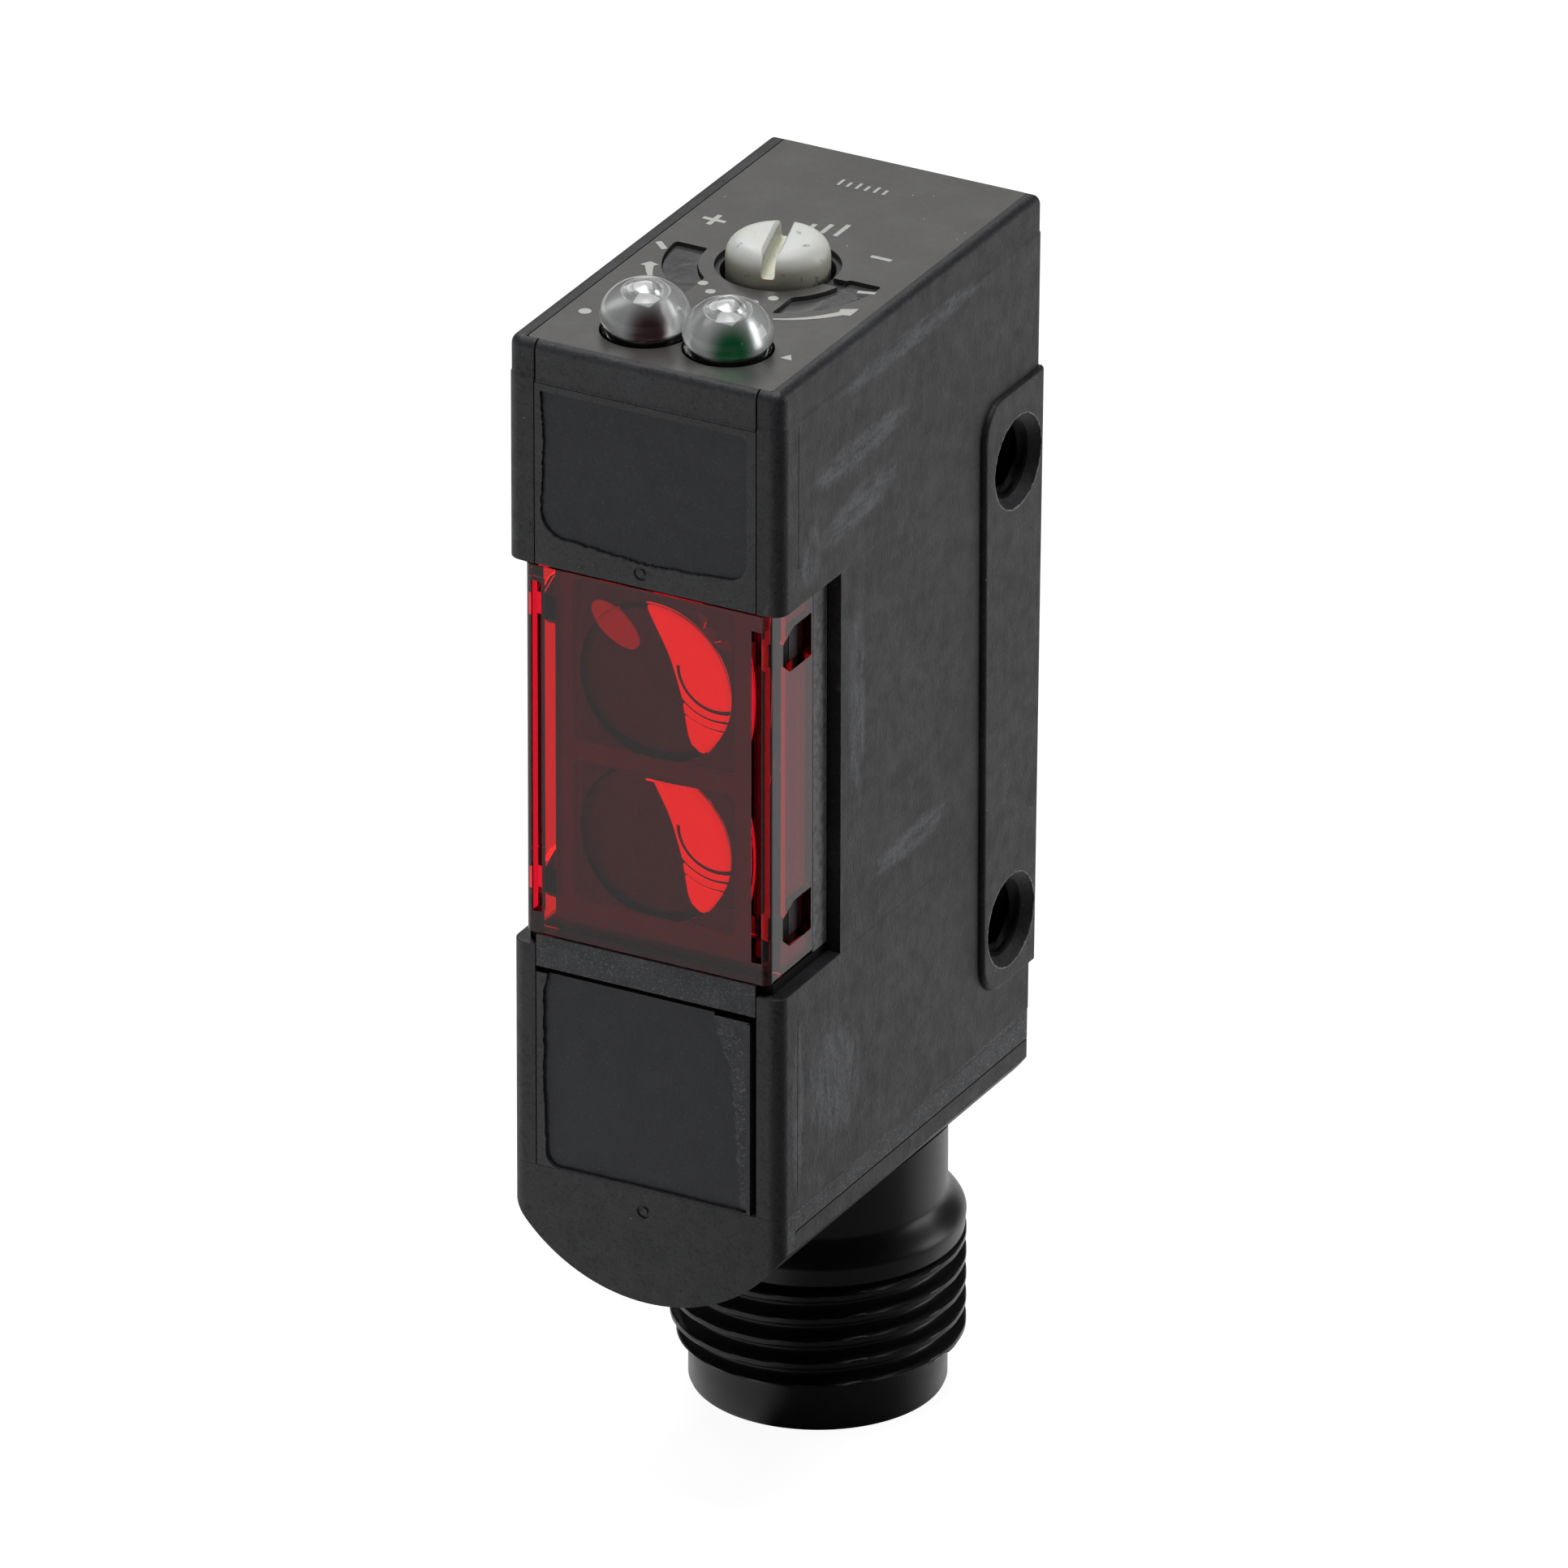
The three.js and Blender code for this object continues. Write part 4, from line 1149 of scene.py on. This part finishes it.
def ragged(points, amount, seed, step=0.12):
    """The same line with small random dents, such as torn flash leaves."""
    noise = random.Random(seed)
    made = []
    for (x0, y0), (x1, y1) in zip(points, points[1:]):
        length = math.hypot(x1 - x0, y1 - y0)
        count = max(1, int(length / step))
        nx, ny = -(y1 - y0) / length, (x1 - x0) / length
        for i in range(count):
            t = i / count
            dent = noise.uniform(-1, 1) * amount if made else 0
            made.append((x0 + (x1 - x0) * t + nx * dent, y0 + (y1 - y0) * t + ny * dent))
    made.append(points[-1])
    return made


def upper_pocket():
    """The upper front panel's sunk face, from its top left corner anticlockwise."""
    left = -4.66
    right = 4.5
    corner = arc((left + 1.1, 43.2), 1.1, 180, 270, 6)
    side = ragged([(left, 48.36), (left + 0.12, 46.2), (left, 43.2)], 0.03, 3)
    lower = ragged([corner[-1], (0.3, 41.82), (2.6, 41.98)], 0.04, 5)
    return [
        *side,
        *corner,
        *lower[1:],
        *arc((right - 0.9, 42.95), 0.9, 270, 360, 6),
        (right, 48.2),
        (right - 0.2, 48.36),
    ]


def lower_pocket():
    """The lower front panel's sunk face, from its top left corner anticlockwise."""
    top = 23.35
    left = ragged([(-4.35, top), (-4.6, 22.3), (-4.6, 18.5), (-4.52, 15.6)], 0.03, 11, 0.2)
    return [
        *left,
        *arc((-3.9, 15.2), 0.6, 180, 270, 5),
        *ragged([(-3.8, 14.62), (0.2, 14.64), (4.5, 14.62)], 0.01, 13),
        (4.5, top),
    ]


def flash_strip():
    """Moulding flash left standing in the lower pocket, along its right edge."""
    torn = [(3.0, 23.0), (3.15, 22.2), (3.75, 20.9), (3.95, 18.5), (4.2, 14.8)]
    outline = [(4.64, 14.7), (4.64, 23.0), *ragged(torn, 0.06, 17, 0.2)]
    return prism("flash", outline, "Y", FRONT + 0.07, FRONT + 0.4)


def make_front():
    """The front frame: two panels, the sill and post round the window, and a liner inside."""
    half = SEAM_X - 0.05
    back = FRONT + 1.5
    tube = 4.35
    inside = (-WINDOW_HALF + 0.02, WINDOW_HALF - 0.02)
    sill_z = (NOTCH[0] + 0.01, WINDOW_LOW - 0.03)
    post_z = (NOTCH[0] + 0.06, NOTCH[1] - 0.05)
    made = block("front_frame", (-half, half), (FRONT, back), (NOTCH[1] + 0.02, PANEL_TOP))
    union(
        made,
        block("lower", (-half, half), (FRONT, back), (BASE_SEAM + 0.002, sill_z[1])),
        block("sill", inside, (FRONT + 0.5, FRONT + 4.9), sill_z),
        block("post", inside, (LEG_BACK + 0.08, FRONT + 4.9), post_z),
        block("liner", (-tube, tube), (FRONT + 2.7, FRONT + 4.8), (24.6, NOTCH[1] + 0.2)),
        block("join", (-tube, tube), (FRONT + 1.4, FRONT + 3.0), (NOTCH[1], NOTCH[1] + 1.5)),
    )
    catch_y = (FRONT + 2.6, LEG_BACK + 0.2)
    for side in (1, -1):
        x = on_side(side, 4.2, WINDOW_HALF - 0.47)
        union(made, *[block("catch", x, catch_y, (z - 0.9, z + 0.9)) for z in SNAP_HEIGHTS])
    bore = tube - 0.35
    cut(
        made,
        block("opening", (-bore, bore), (FRONT + 1, FRONT + 6), (25.8, NOTCH[1] - 0.6)),
        prism("pocket", upper_pocket(), "Y", FRONT - 1, FRONT + 0.12),
        prism("pocket", lower_pocket(), "Y", FRONT - 1, FRONT + 0.16),
        block("gutter", (4.66, half + 0.01), (FRONT - 1, FRONT + 0.9), (14.3, 23.2)),
        block("undercut", (-half - 0.01, 3.1), (FRONT - 1, FRONT + 0.45), (23.08, 23.34)),
        block("undercut", (3.0, half + 0.01), (FRONT - 1, FRONT + 0.9), (22.95, 23.34)),
        ejector_mark(-0.2, 41.47),
    )
    union(made, flash_strip())
    smooth(made)
    paint(made, 1, lambda c, n: n.y < -0.9 and FRONT + 0.1 < c.y < FRONT + 0.3)
    paint(made, 2, lambda c, n: n.y < -0.9 and FRONT + 0.05 < c.y < FRONT + 0.09)
    paint(made, 2, lambda c, n: n.y < -0.9 and c.y < FRONT + 0.05 and 23.3 < c.z < 24.5)
    paint(made, 3, lambda c, n: abs(n.x) > 0.9 and c.y > LEG_BACK and abs(c.x) > 4.9)
    # Painted shade: the sill and the faces under the window, back from the front, get the
    # near-black optics material.
    paint(made, 4, lambda c, n: c.z < 25 and c.y > FRONT + 0.45)
    show(made, [PANEL, POCKET, TORN, STRIP, OPTICS], ["front_frame"])


# ---------------------------------------------------------------- window and optics

LEG = 0.45
PLATE = 1.3
PLATE_BACK = WINDOW_FRONT + PLATE
BEHIND_PLATE = (PLATE_BACK + 0.03, PLATE_BACK + 0.3)
PAINTED_GLOW_Y = (PLATE_BACK + 0.37, PLATE_BACK + 0.49)  # where the lenses' painted glows lie
LENS_EDGE = 3.4
LENS_RISE = 0.3
CELL_TOPS = (3.7, 2.75)  # each cell's upper edge above its optic's axis


def window_outline():
    """The window is a U in plan, with thin legs along both sides."""
    inner = WINDOW_HALF - LEG
    r = 0.35
    right = [
        *arc((WINDOW_HALF - r, WINDOW_FRONT + r), r, -90, 0, 6),
        (WINDOW_HALF, LEG_BACK),
        (inner, LEG_BACK),
        (inner, PLATE_BACK),
    ]
    left = [(-x, y) for x, y in reversed(right)]
    return right + left


def lens_cap(z):
    """The shallow lens on the plate's inner face."""
    flat = PLATE_BACK - 0.02
    rings = []
    for k in range(13):
        turn = math.radians(90 * k / 12)
        radius = max(LENS_EDGE * math.cos(turn), 0.005)
        y = flat + LENS_RISE * math.sin(turn)
        rings.append([(u, y, v) for u, v in arc((0, z), radius, 0, 357, 119)])
    return loft("lens", rings)


def snap_outline(z):
    """The opening in a leg of the window where the frame's catch sits."""
    front = FRONT + 1.25
    back = LEG_BACK - 0.12
    return [
        (front + 0.55, z - SNAP_HALF),
        (back, z - SNAP_HALF),
        (back, z + SNAP_HALF),
        (front + 0.9, z + SNAP_HALF),
        (front, z + SNAP_HALF - 0.45),
        (front, z - SNAP_HALF + 0.45),
    ]


def make_window():
    """The red window with its lenses, and the dark catches that show in its legs' openings."""
    made = prism("red_window", window_outline(), "Z", WINDOW_LOW, window_high.z, rim=0.05)
    for z, top in zip(OPTIC_HEIGHTS, CELL_TOPS):
        cap = lens_cap(z)
        cell = block("cell", (-3.6, 3.45), (WINDOW_FRONT, FRONT + 5), (z - 3.25, z + top))
        union(made, combine(cap, cell, "INTERSECT"))
    leg_inside = WINDOW_HALF - LEG
    groove_z = (WINDOW_LOW + 0.95, window_high.z - 0.7)
    for side, side_word in ((1, "right"), (-1, "left")):
        groove_x = on_side(side, 4.68, 5.12)
        cut(made, block("groove", groove_x, (FRONT - 1, WINDOW_FRONT + 0.5), groove_z))
        for z, level in zip(SNAP_HEIGHTS, ("lower", "upper")):
            outline = snap_outline(z)
            reach = on_side(side, leg_inside - 0.2, WINDOW_HALF + 1)
            cut(made, prism("snap", outline, "X", *reach))
            x = on_side(side, leg_inside - 0.5, leg_inside - 0.04)
            catch = prism(f"snap_tab_{side_word}_{level}", outline, "X", *x)
            show(catch, [OPTICS])
    smooth(made, 28)
    show(made, [RED], ["red_window", "emitter_lens", "receiver_lens"])


def curve(points, steps=8):
    """A smooth line through the points."""
    padded = [points[0], *points, points[-1]]
    made = []
    for p0, p1, p2, p3 in zip(padded, padded[1:], padded[2:], padded[3:]):
        for i in range(steps):
            t = i / steps
            weights = (
                -0.5 * t + t**2 - 0.5 * t**3,
                1 - 2.5 * t**2 + 1.5 * t**3,
                0.5 * t + 2 * t**2 - 1.5 * t**3,
                -0.5 * t**2 + 0.5 * t**3,
            )
            near = list(zip(weights, (p0, p1, p2, p3)))
            made.append((sum(w * p[0] for w, p in near), sum(w * p[1] for w, p in near)))
    made.append(points[-1])
    return made


def make_painted_lens_glow(name, z, top):
    """A painted glow: the bright crescent at a lens's right, crossed by three dark arcs."""
    x, z = -0.22, z - 0.22
    foot = [(2.6, -2.2), (2.35, -2.5), (1.95, -2.5), (1.65, -2.25)]
    inner = [(1.5, -1.9), (1.38, -1.2), (1.2, -0.2), (0.7, 1.3), (0.05, 2.5), (-0.38, 3.2)]
    outline = arc((-0.12, 0), LENS_EDGE, 95, -32, 70) + foot + curve(inner)
    made = prism(name, [(x + u, z + min(v, top)) for u, v in outline], "Y", *PAINTED_GLOW_Y)
    for radius, width in ((1.72, 0.22), (2.12, 0.15), (2.5, 0.11)):
        centre = (x + 2.75, z + 1.05)
        ring = arc(centre, radius + width / 2, 180, 320, 40)
        ring += arc(centre, radius - width / 2, 320, 180, 40)
        cut(made, prism("arc", ring, "Y", PAINTED_GLOW_Y[0] - 1, PAINTED_GLOW_Y[1] + 1))
    show(made, [PAINTED_LENS_GLOW])


def make_painted_faint_reflection():
    """A painted reflection: a dull red patch at the upper lens's left."""
    lean = math.radians(-35)
    outline = []
    for u, v in arc((0, 0), 1.0, 0, 350, 35):
        a, b = 1.25 * u, 0.6 * v
        x = -2.0 + a * math.cos(lean) - b * math.sin(lean)
        z = 38.35 + a * math.sin(lean) + b * math.cos(lean)
        outline.append((x, z))
    show(prism("emitter_reflection", outline, "Y", *PAINTED_GLOW_Y), [PAINTED_REFLECTION])


def make_painted_corner_reflection():
    """A painted reflection: the bright line inside the window's right corner."""
    outline = rounded((4.72, 5.1), (WINDOW_LOW + 1.4, window_high.z - 0.6), [0.1] * 4)
    show(prism("corner_reflection", outline, "Y", *BEHIND_PLATE), [PAINTED_REFLECTION])


def make_gasket():
    """The mask behind the plate, with one opening for each lens."""
    outer = rounded((-4.5, 4.6), (WINDOW_LOW + 0.1, window_high.z - 0.1), [0.2] * 4)
    made = prism("window_gasket", outer, "Y", *BEHIND_PLATE)
    for z, top in zip(OPTIC_HEIGHTS, CELL_TOPS):
        outline = rounded((-3.7, 3.5), (z - 3.35, z + top + 0.05), [0.35] * 4)
        cut(made, prism("cell", outline, "Y", FRONT, FRONT + 4))
    smooth(made)
    show(made, [MASK], ["window_gasket"])


def make_holder():
    """The black block behind the window, with a dark chamber behind each lens."""
    low, high = box_mm("lens_holder")
    made = block("lens_holder", (-3.9, 3.9), (FRONT + 4.0, high.y), (low.z, high.z))
    for z in OPTIC_HEIGHTS:
        cut(made, prism("bore", arc((0, z), 2.1, 0, 354, 59), "Y", FRONT, FRONT + 9))
    smooth(made)
    show(made, [OPTICS], ["lens_holder"])


# ---------------------------------------------------------------- top: label, guide and screw


def guide_outline(side, clearance):
    """One arm of the light guide's fork in plan: a band round the screw that runs forward."""
    inner, outer = GUIDE_RING[0] - clearance, GUIDE_RING[1] + clearance
    tongue = TONGUE_HALF - clearance
    start = 0.6
    outer_end = math.degrees(math.asin(min(1, tongue / outer)))
    inner_end = math.degrees(math.asin(min(1, tongue / inner)))
    band = arc((0, 0), outer, start, -90 + outer_end, 24)
    band += arc((0, 0), inner, -90 + inner_end, start, 20)
    return [(side * x, y) for x, y in band]


def guide_solid(name, clearance, low, high):
    """Both arms of the guide's fork, or with a clearance the slot for them."""
    arms = [
        prism(name, guide_outline(side, clearance), "Z", low, high, corner=0.55)
        for side in (1, -1)
    ]
    return union(*arms)


def make_label():
    """The top label, with its openings for the guide, the domes and the screw."""
    sheet = rounded((label_low.x, label_high.x), (label_low.y, label_high.y), [0.15] * 4, 3)
    made = prism("top_label", sheet, "Z", label_low.z, label_high.z)
    cut(
        made,
        guide_solid("guide_slot", 0.02, 40, 60),
        *dome_holes(1.83),
        rod("well", 2.52, (0, 0), 40, 60, 72),
        block("nick", (2.2, 3.4), (-0.75, -0.1), (40, 60)),
    )
    smooth(made)
    show(made, [LABEL], ["top_label"])


INK_HEIGHT = 0.012


def mark(name, outline):
    """A printed mark on the label, as a thin raised film."""
    made = prism(name, outline, "Z", label_high.z - 0.004, label_high.z + INK_HEIGHT)
    show(made, [INK])


def bar(start, end, width):
    """The outline of a straight stroke."""
    (x0, y0), (x1, y1) = start, end
    length = math.hypot(x1 - x0, y1 - y0)
    nx, ny = -(y1 - y0) / length * width / 2, (x1 - x0) / length * width / 2
    return [(x0 + nx, y0 + ny), (x0 - nx, y0 - ny), (x1 - nx, y1 - ny), (x1 + nx, y1 + ny)]


def sweep_arrow(centre, radius, start, end, thin, thick):
    """A curved stroke that widens from its tail to its head."""
    steps = 18
    outer, inner = [], []
    for i in range(steps + 1):
        t = i / steps
        a = math.radians(start + (end - start) * t)
        half = (thin + (thick - thin) * t) / 2
        if t > 0.82:
            half = thick * (1 - t) / 0.18 * 0.9 + 0.02
        outer.append(polar(centre, radius + half, a))
        inner.append(polar(centre, radius - half, a))
    return outer + inner[::-1]


def plus_outline(x, y, reach, half):
    """A plus sign's outline round its middle."""
    quarter = [(half, reach), (half, half), (reach, half)]
    points = []
    for turn in range(4):
        for u, v in reversed(quarter):
            for _ in range(turn):
                u, v = -v, u
            points.append((x + u, y + v))
    return points


def make_print():
    """Generic marks in the places of the photo's print."""
    mark("tick_high", bar((-5.15, -0.35), (-4.6, -0.85), 0.26))
    mark("tick_low", bar((3.95, -0.8), (4.65, -0.6), 0.22))
    mark("arrow_left", sweep_arrow((0.8, 0), 5.75, 219, 202, 0.12, 0.42))
    mark("arrow_right", sweep_arrow((0.2, 0), 5.05, -66, -26, 0.1, 0.42))
    dots = [(-1.75, -2.95), (-1.12, -3.5), (-0.16, -3.62), (0.85, -3.6), (1.35, -2.9)]
    for i, (x, y) in enumerate(dots):
        mark(f"dot_{i + 1}", arc((x, y), 0.21, 0, 340, 17))
    mark("plus", plus_outline(-4.2, 2.5, 0.5, 0.11))
    mark("minus_bar", bar((2.85, 2.4), (3.75, 2.4), 0.22))
    for i in range(4):
        x = -1.1 + 0.6 * i
        mark(f"level_{i + 1}", bar((x, 3.4), (x, 3.75 + 0.28 * i), 0.2))
    for i in range(6):
        x = -1.5 + 0.4 * i
        mark(f"batch_{i + 1}", bar((x, 7.75), (x, 8.2 if i % 2 else 8.3), 0.12))
    mark("left_lamp", arc((-4.55, -7.45), 0.26, 0, 340, 17))
    mark("right_lamp", arc((4.45, -7.5), 0.3, 90, 330, 2))


def make_guide():
    """The light guide's flat arms, in their slot under the label's openings."""
    made = guide_solid("light_guide", -0.02, 49.4, TOP - 0.2)
    smooth(made)
    show(made, [GUIDE], ["light_guide"])


def dome_profile(radius, base):
    """A round dome that narrows to a thin foot."""
    middle = TOP + 0.62
    height = guide_high.z - middle
    profile = [(0.001, base), (radius - 0.06, base), (radius - 0.06, TOP + 0.04)]
    for i in range(6):
        t = math.radians(-42 + 42 * i / 6)
        profile.append((radius * math.cos(t) ** 0.5, middle + 0.7 * math.sin(t)))
    for i in range(15):
        t = math.radians(90 * i / 15)
        profile.append((radius * math.cos(t), middle + height * math.sin(t)))
    profile.append((0.001, middle + height))
    return profile


def make_dome(name, x, glow):
    """A clear indicator dome round a core painted silver as a reflection; glow colours a painted
    glow on the core's lower front.
    """
    shell = turned(name + "_lens", dome_profile(DOME_RADIUS, TOP - 0.6), (x, DOME_Y), 72)
    smooth(shell, 50)
    show(shell, [CLEAR])
    top = guide_high.z - 0.3
    core = turned(
        name + "_core",
        [
            (0.001, TOP - 0.5),
            (1.36, TOP - 0.5),
            (1.44, TOP - 0.1),
            (1.4, TOP + 0.3),
            (1.18, TOP + 0.8),
            (0.86, top - 0.38),
            (0.8, top - 0.42),
            (0.64, top - 0.28),
            (0.58, top - 0.33),
            (0.44, top - 0.2),
            (0.38, top - 0.25),
            (0.001, top - 0.12),
        ],
        (x, DOME_Y),
        64,
    )
    smooth(core, 50)
    show(core, [painted_reflection_core(name + "_painted_reflection", x, glow)])


def make_screw():
    """The sensitivity screw: a round head with a worn driver slot."""
    top = screw_high.z
    r = SCREW_RADIUS
    edge = 0.8
    profile = [(0.001, screw_low.z), (0.7, screw_low.z), (0.7, 47.1), (1.25, 47.1)]
    profile += [(1.25, 49.45), (r - 0.1, 49.45), (r, 49.6), (r, top - edge)]
    for i in range(1, 9):
        t = math.radians(90 * i / 8)
        profile.append((r - edge * (1 - math.cos(t)), top - edge * (1 - math.sin(t))))
    profile.append((0.001, top))
    made = turned("adjuster_screw", profile, (0, 0), 96)
    half = SLOT_WIDTH / 2
    slot = prism(
        "slot",
        [
            *arc((-half + 0.12, top - SLOT_DEPTH + 0.12), 0.12, 180, 270, 4),
            *arc((half - 0.12, top - SLOT_DEPTH + 0.12), 0.12, 270, 360, 4),
            (half, top - 0.2),
            (half + 0.14, top + 0.02),
            (half + 0.14, top + 0.5),
            (-half - 0.14, top + 0.5),
            (-half - 0.14, top + 0.02),
            (-half, top - 0.2),
        ],
        "Y",
        -4,
        4,
    )
    slot.data.transform(Matrix.Rotation(SLOT_ANGLE - math.pi / 2, 4, "Z"))
    cut(made, slot)
    smooth(made, 40)
    show(made, [SCREW], ["adjuster_screw"], ADJUSTER)


# ---------------------------------------------------------------- connector

NECK_RADIUS = 5.2
THREAD_RADIUS = 5.95
THREAD_ROOT = 5.38
SLEEVE_RADIUS = 5.21
THREAD_START = 2.15
THREAD_END = 6.75
SOCKET_RADIUS = 4.2
SOCKET_TOP = 7.2
SHOULDER = (7.5, 8.75)  # the heights where the collar starts and ends its way to the neck
RING_STEPS = 180


def thread_radius(z, share):
    """The rounded M12 x 1 thread's radius at a height, for a share of one turn."""
    phase = (z - share) % 1.0
    ridge = 0.5 - 0.5 * math.cos(2 * math.pi * phase)
    ridge = min(1.0, 1.18 * ridge**1.35)
    thread = THREAD_ROOT + (THREAD_RADIUS - THREAD_ROOT) * ridge
    start = THREAD_START + 0.35 * share
    fade = min(1.0, max(0.0, (z - start + 0.45) / 0.45))
    return SLEEVE_RADIUS + (thread - SLEEVE_RADIUS) * fade


def outer_radius(z, share):
    """The connector's radius above the sleeve: thread, collar, rounded shoulder and neck."""
    if z < THREAD_END:
        return thread_radius(z, share)
    if z < THREAD_END + 0.12:
        mix = (z - THREAD_END) / 0.12
        return thread_radius(z, share) * (1 - mix) + THREAD_RADIUS * mix
    if z < SHOULDER[0]:
        return THREAD_RADIUS
    t = min(1.0, (z - SHOULDER[0]) / (SHOULDER[1] - SHOULDER[0]))
    drop = t * t * (3 - 2 * t)
    return THREAD_RADIUS - (THREAD_RADIUS - NECK_RADIUS) * drop


def connector_ring(z, radius):
    """A level ring; radius is a number or a function of the height and the share of a turn."""
    points = []
    for i in range(RING_STEPS):
        share = i / RING_STEPS
        r = radius(z, share) if callable(radius) else radius
        points.append((*polar(CONNECTOR_AXIS, r, 2 * math.pi * share), z))
    return points


def make_connector():
    """The connector shell: sleeve, thread, shoulder, and a socket with its key."""
    sleeve = [
        (0.0, SLEEVE_RADIUS - 0.22),
        (0.08, SLEEVE_RADIUS - 0.06),
        (0.22, SLEEVE_RADIUS),
        (1.4, SLEEVE_RADIUS),
    ]
    rings = [connector_ring(z, radius) for z, radius in sleeve]
    z = THREAD_START - 0.5
    while z < THREAD_END + 0.14:
        rings.append(connector_ring(z, outer_radius))
        z += 0.05
    for i in range(15):
        z = SHOULDER[0] + (SHOULDER[1] - SHOULDER[0]) * i / 14
        rings.append(connector_ring(z, outer_radius))
    rings.append(connector_ring(shell_high.z, NECK_RADIUS))
    made = loft("connector_shell", rings)
    core = rod("core", 4.3, CONNECTOR_AXIS, 7, 16, 72)
    outer = cut(block("outer", (-7, 7), (-5, 12), (BELLY_AXIS - 7.6, 16)), core)
    cut(made, combine(outer, belly(-12, 14, BELLY_RADIUS + 0.06), "INTERSECT"))
    socket = turned(
        "socket",
        [
            (SOCKET_RADIUS + 0.35, -0.5),
            (SOCKET_RADIUS + 0.3, 0.0),
            (SOCKET_RADIUS, 0.35),
            (SOCKET_RADIUS, SOCKET_TOP),
            (3.2, SOCKET_TOP),
            (3.2, 15),
        ],
        CONNECTOR_AXIS,
        96,
    )
    cut(made, socket)
    key = block("key", (3.72, 4.6), (-0.45, 0.45), (0.6, SOCKET_TOP + 0.2))
    turn = Matrix.Translation((0, CONNECTOR_AXIS[1] * MM, 0)) @ Matrix.Rotation(math.pi / 4, 4, "Z")
    key.data.transform(turn)
    union(made, key)
    smooth(made, 40)
    show(made, [CONNECTOR], ["connector_shell"])


# ---------------------------------------------------------------- carried-over CAD nodes


def dress_cad_nodes():
    """Gives the CAD nodes that are still shown their materials, by slot."""
    slots = {part["node"]: part["material_slot"] for part in frame["record"]["subparts"]}
    for name, node in frame["nodes"].items():
        material = CAD_MATERIALS.get(slots[name])
        if material and not node.hide_render:
            node.data.materials.clear()
            node.data.materials.append(material)


make_housing()
make_burrs()
make_base()
make_insert()
make_front()
make_window()
# Each lens gets a painted glow, a bright red crescent in place of the light reflected inside it.
for optic, axis_z, cell_top in zip(("emitter", "receiver"), OPTIC_HEIGHTS, CELL_TOPS):
    make_painted_lens_glow(f"{optic}_painted_glow", axis_z, cell_top - 0.1)
make_painted_faint_reflection()
make_painted_corner_reflection()
make_gasket()
make_holder()
make_label()
make_print()
make_guide()
# The colour after each dome's place is its painted glow.
make_dome("dome_left", DOME_X[0], (0.1, 0.045, 0.05))
make_dome("dome_right", DOME_X[1], (0.015, 0.2, 0.07))
make_screw()
make_connector()
dress_cad_nodes()
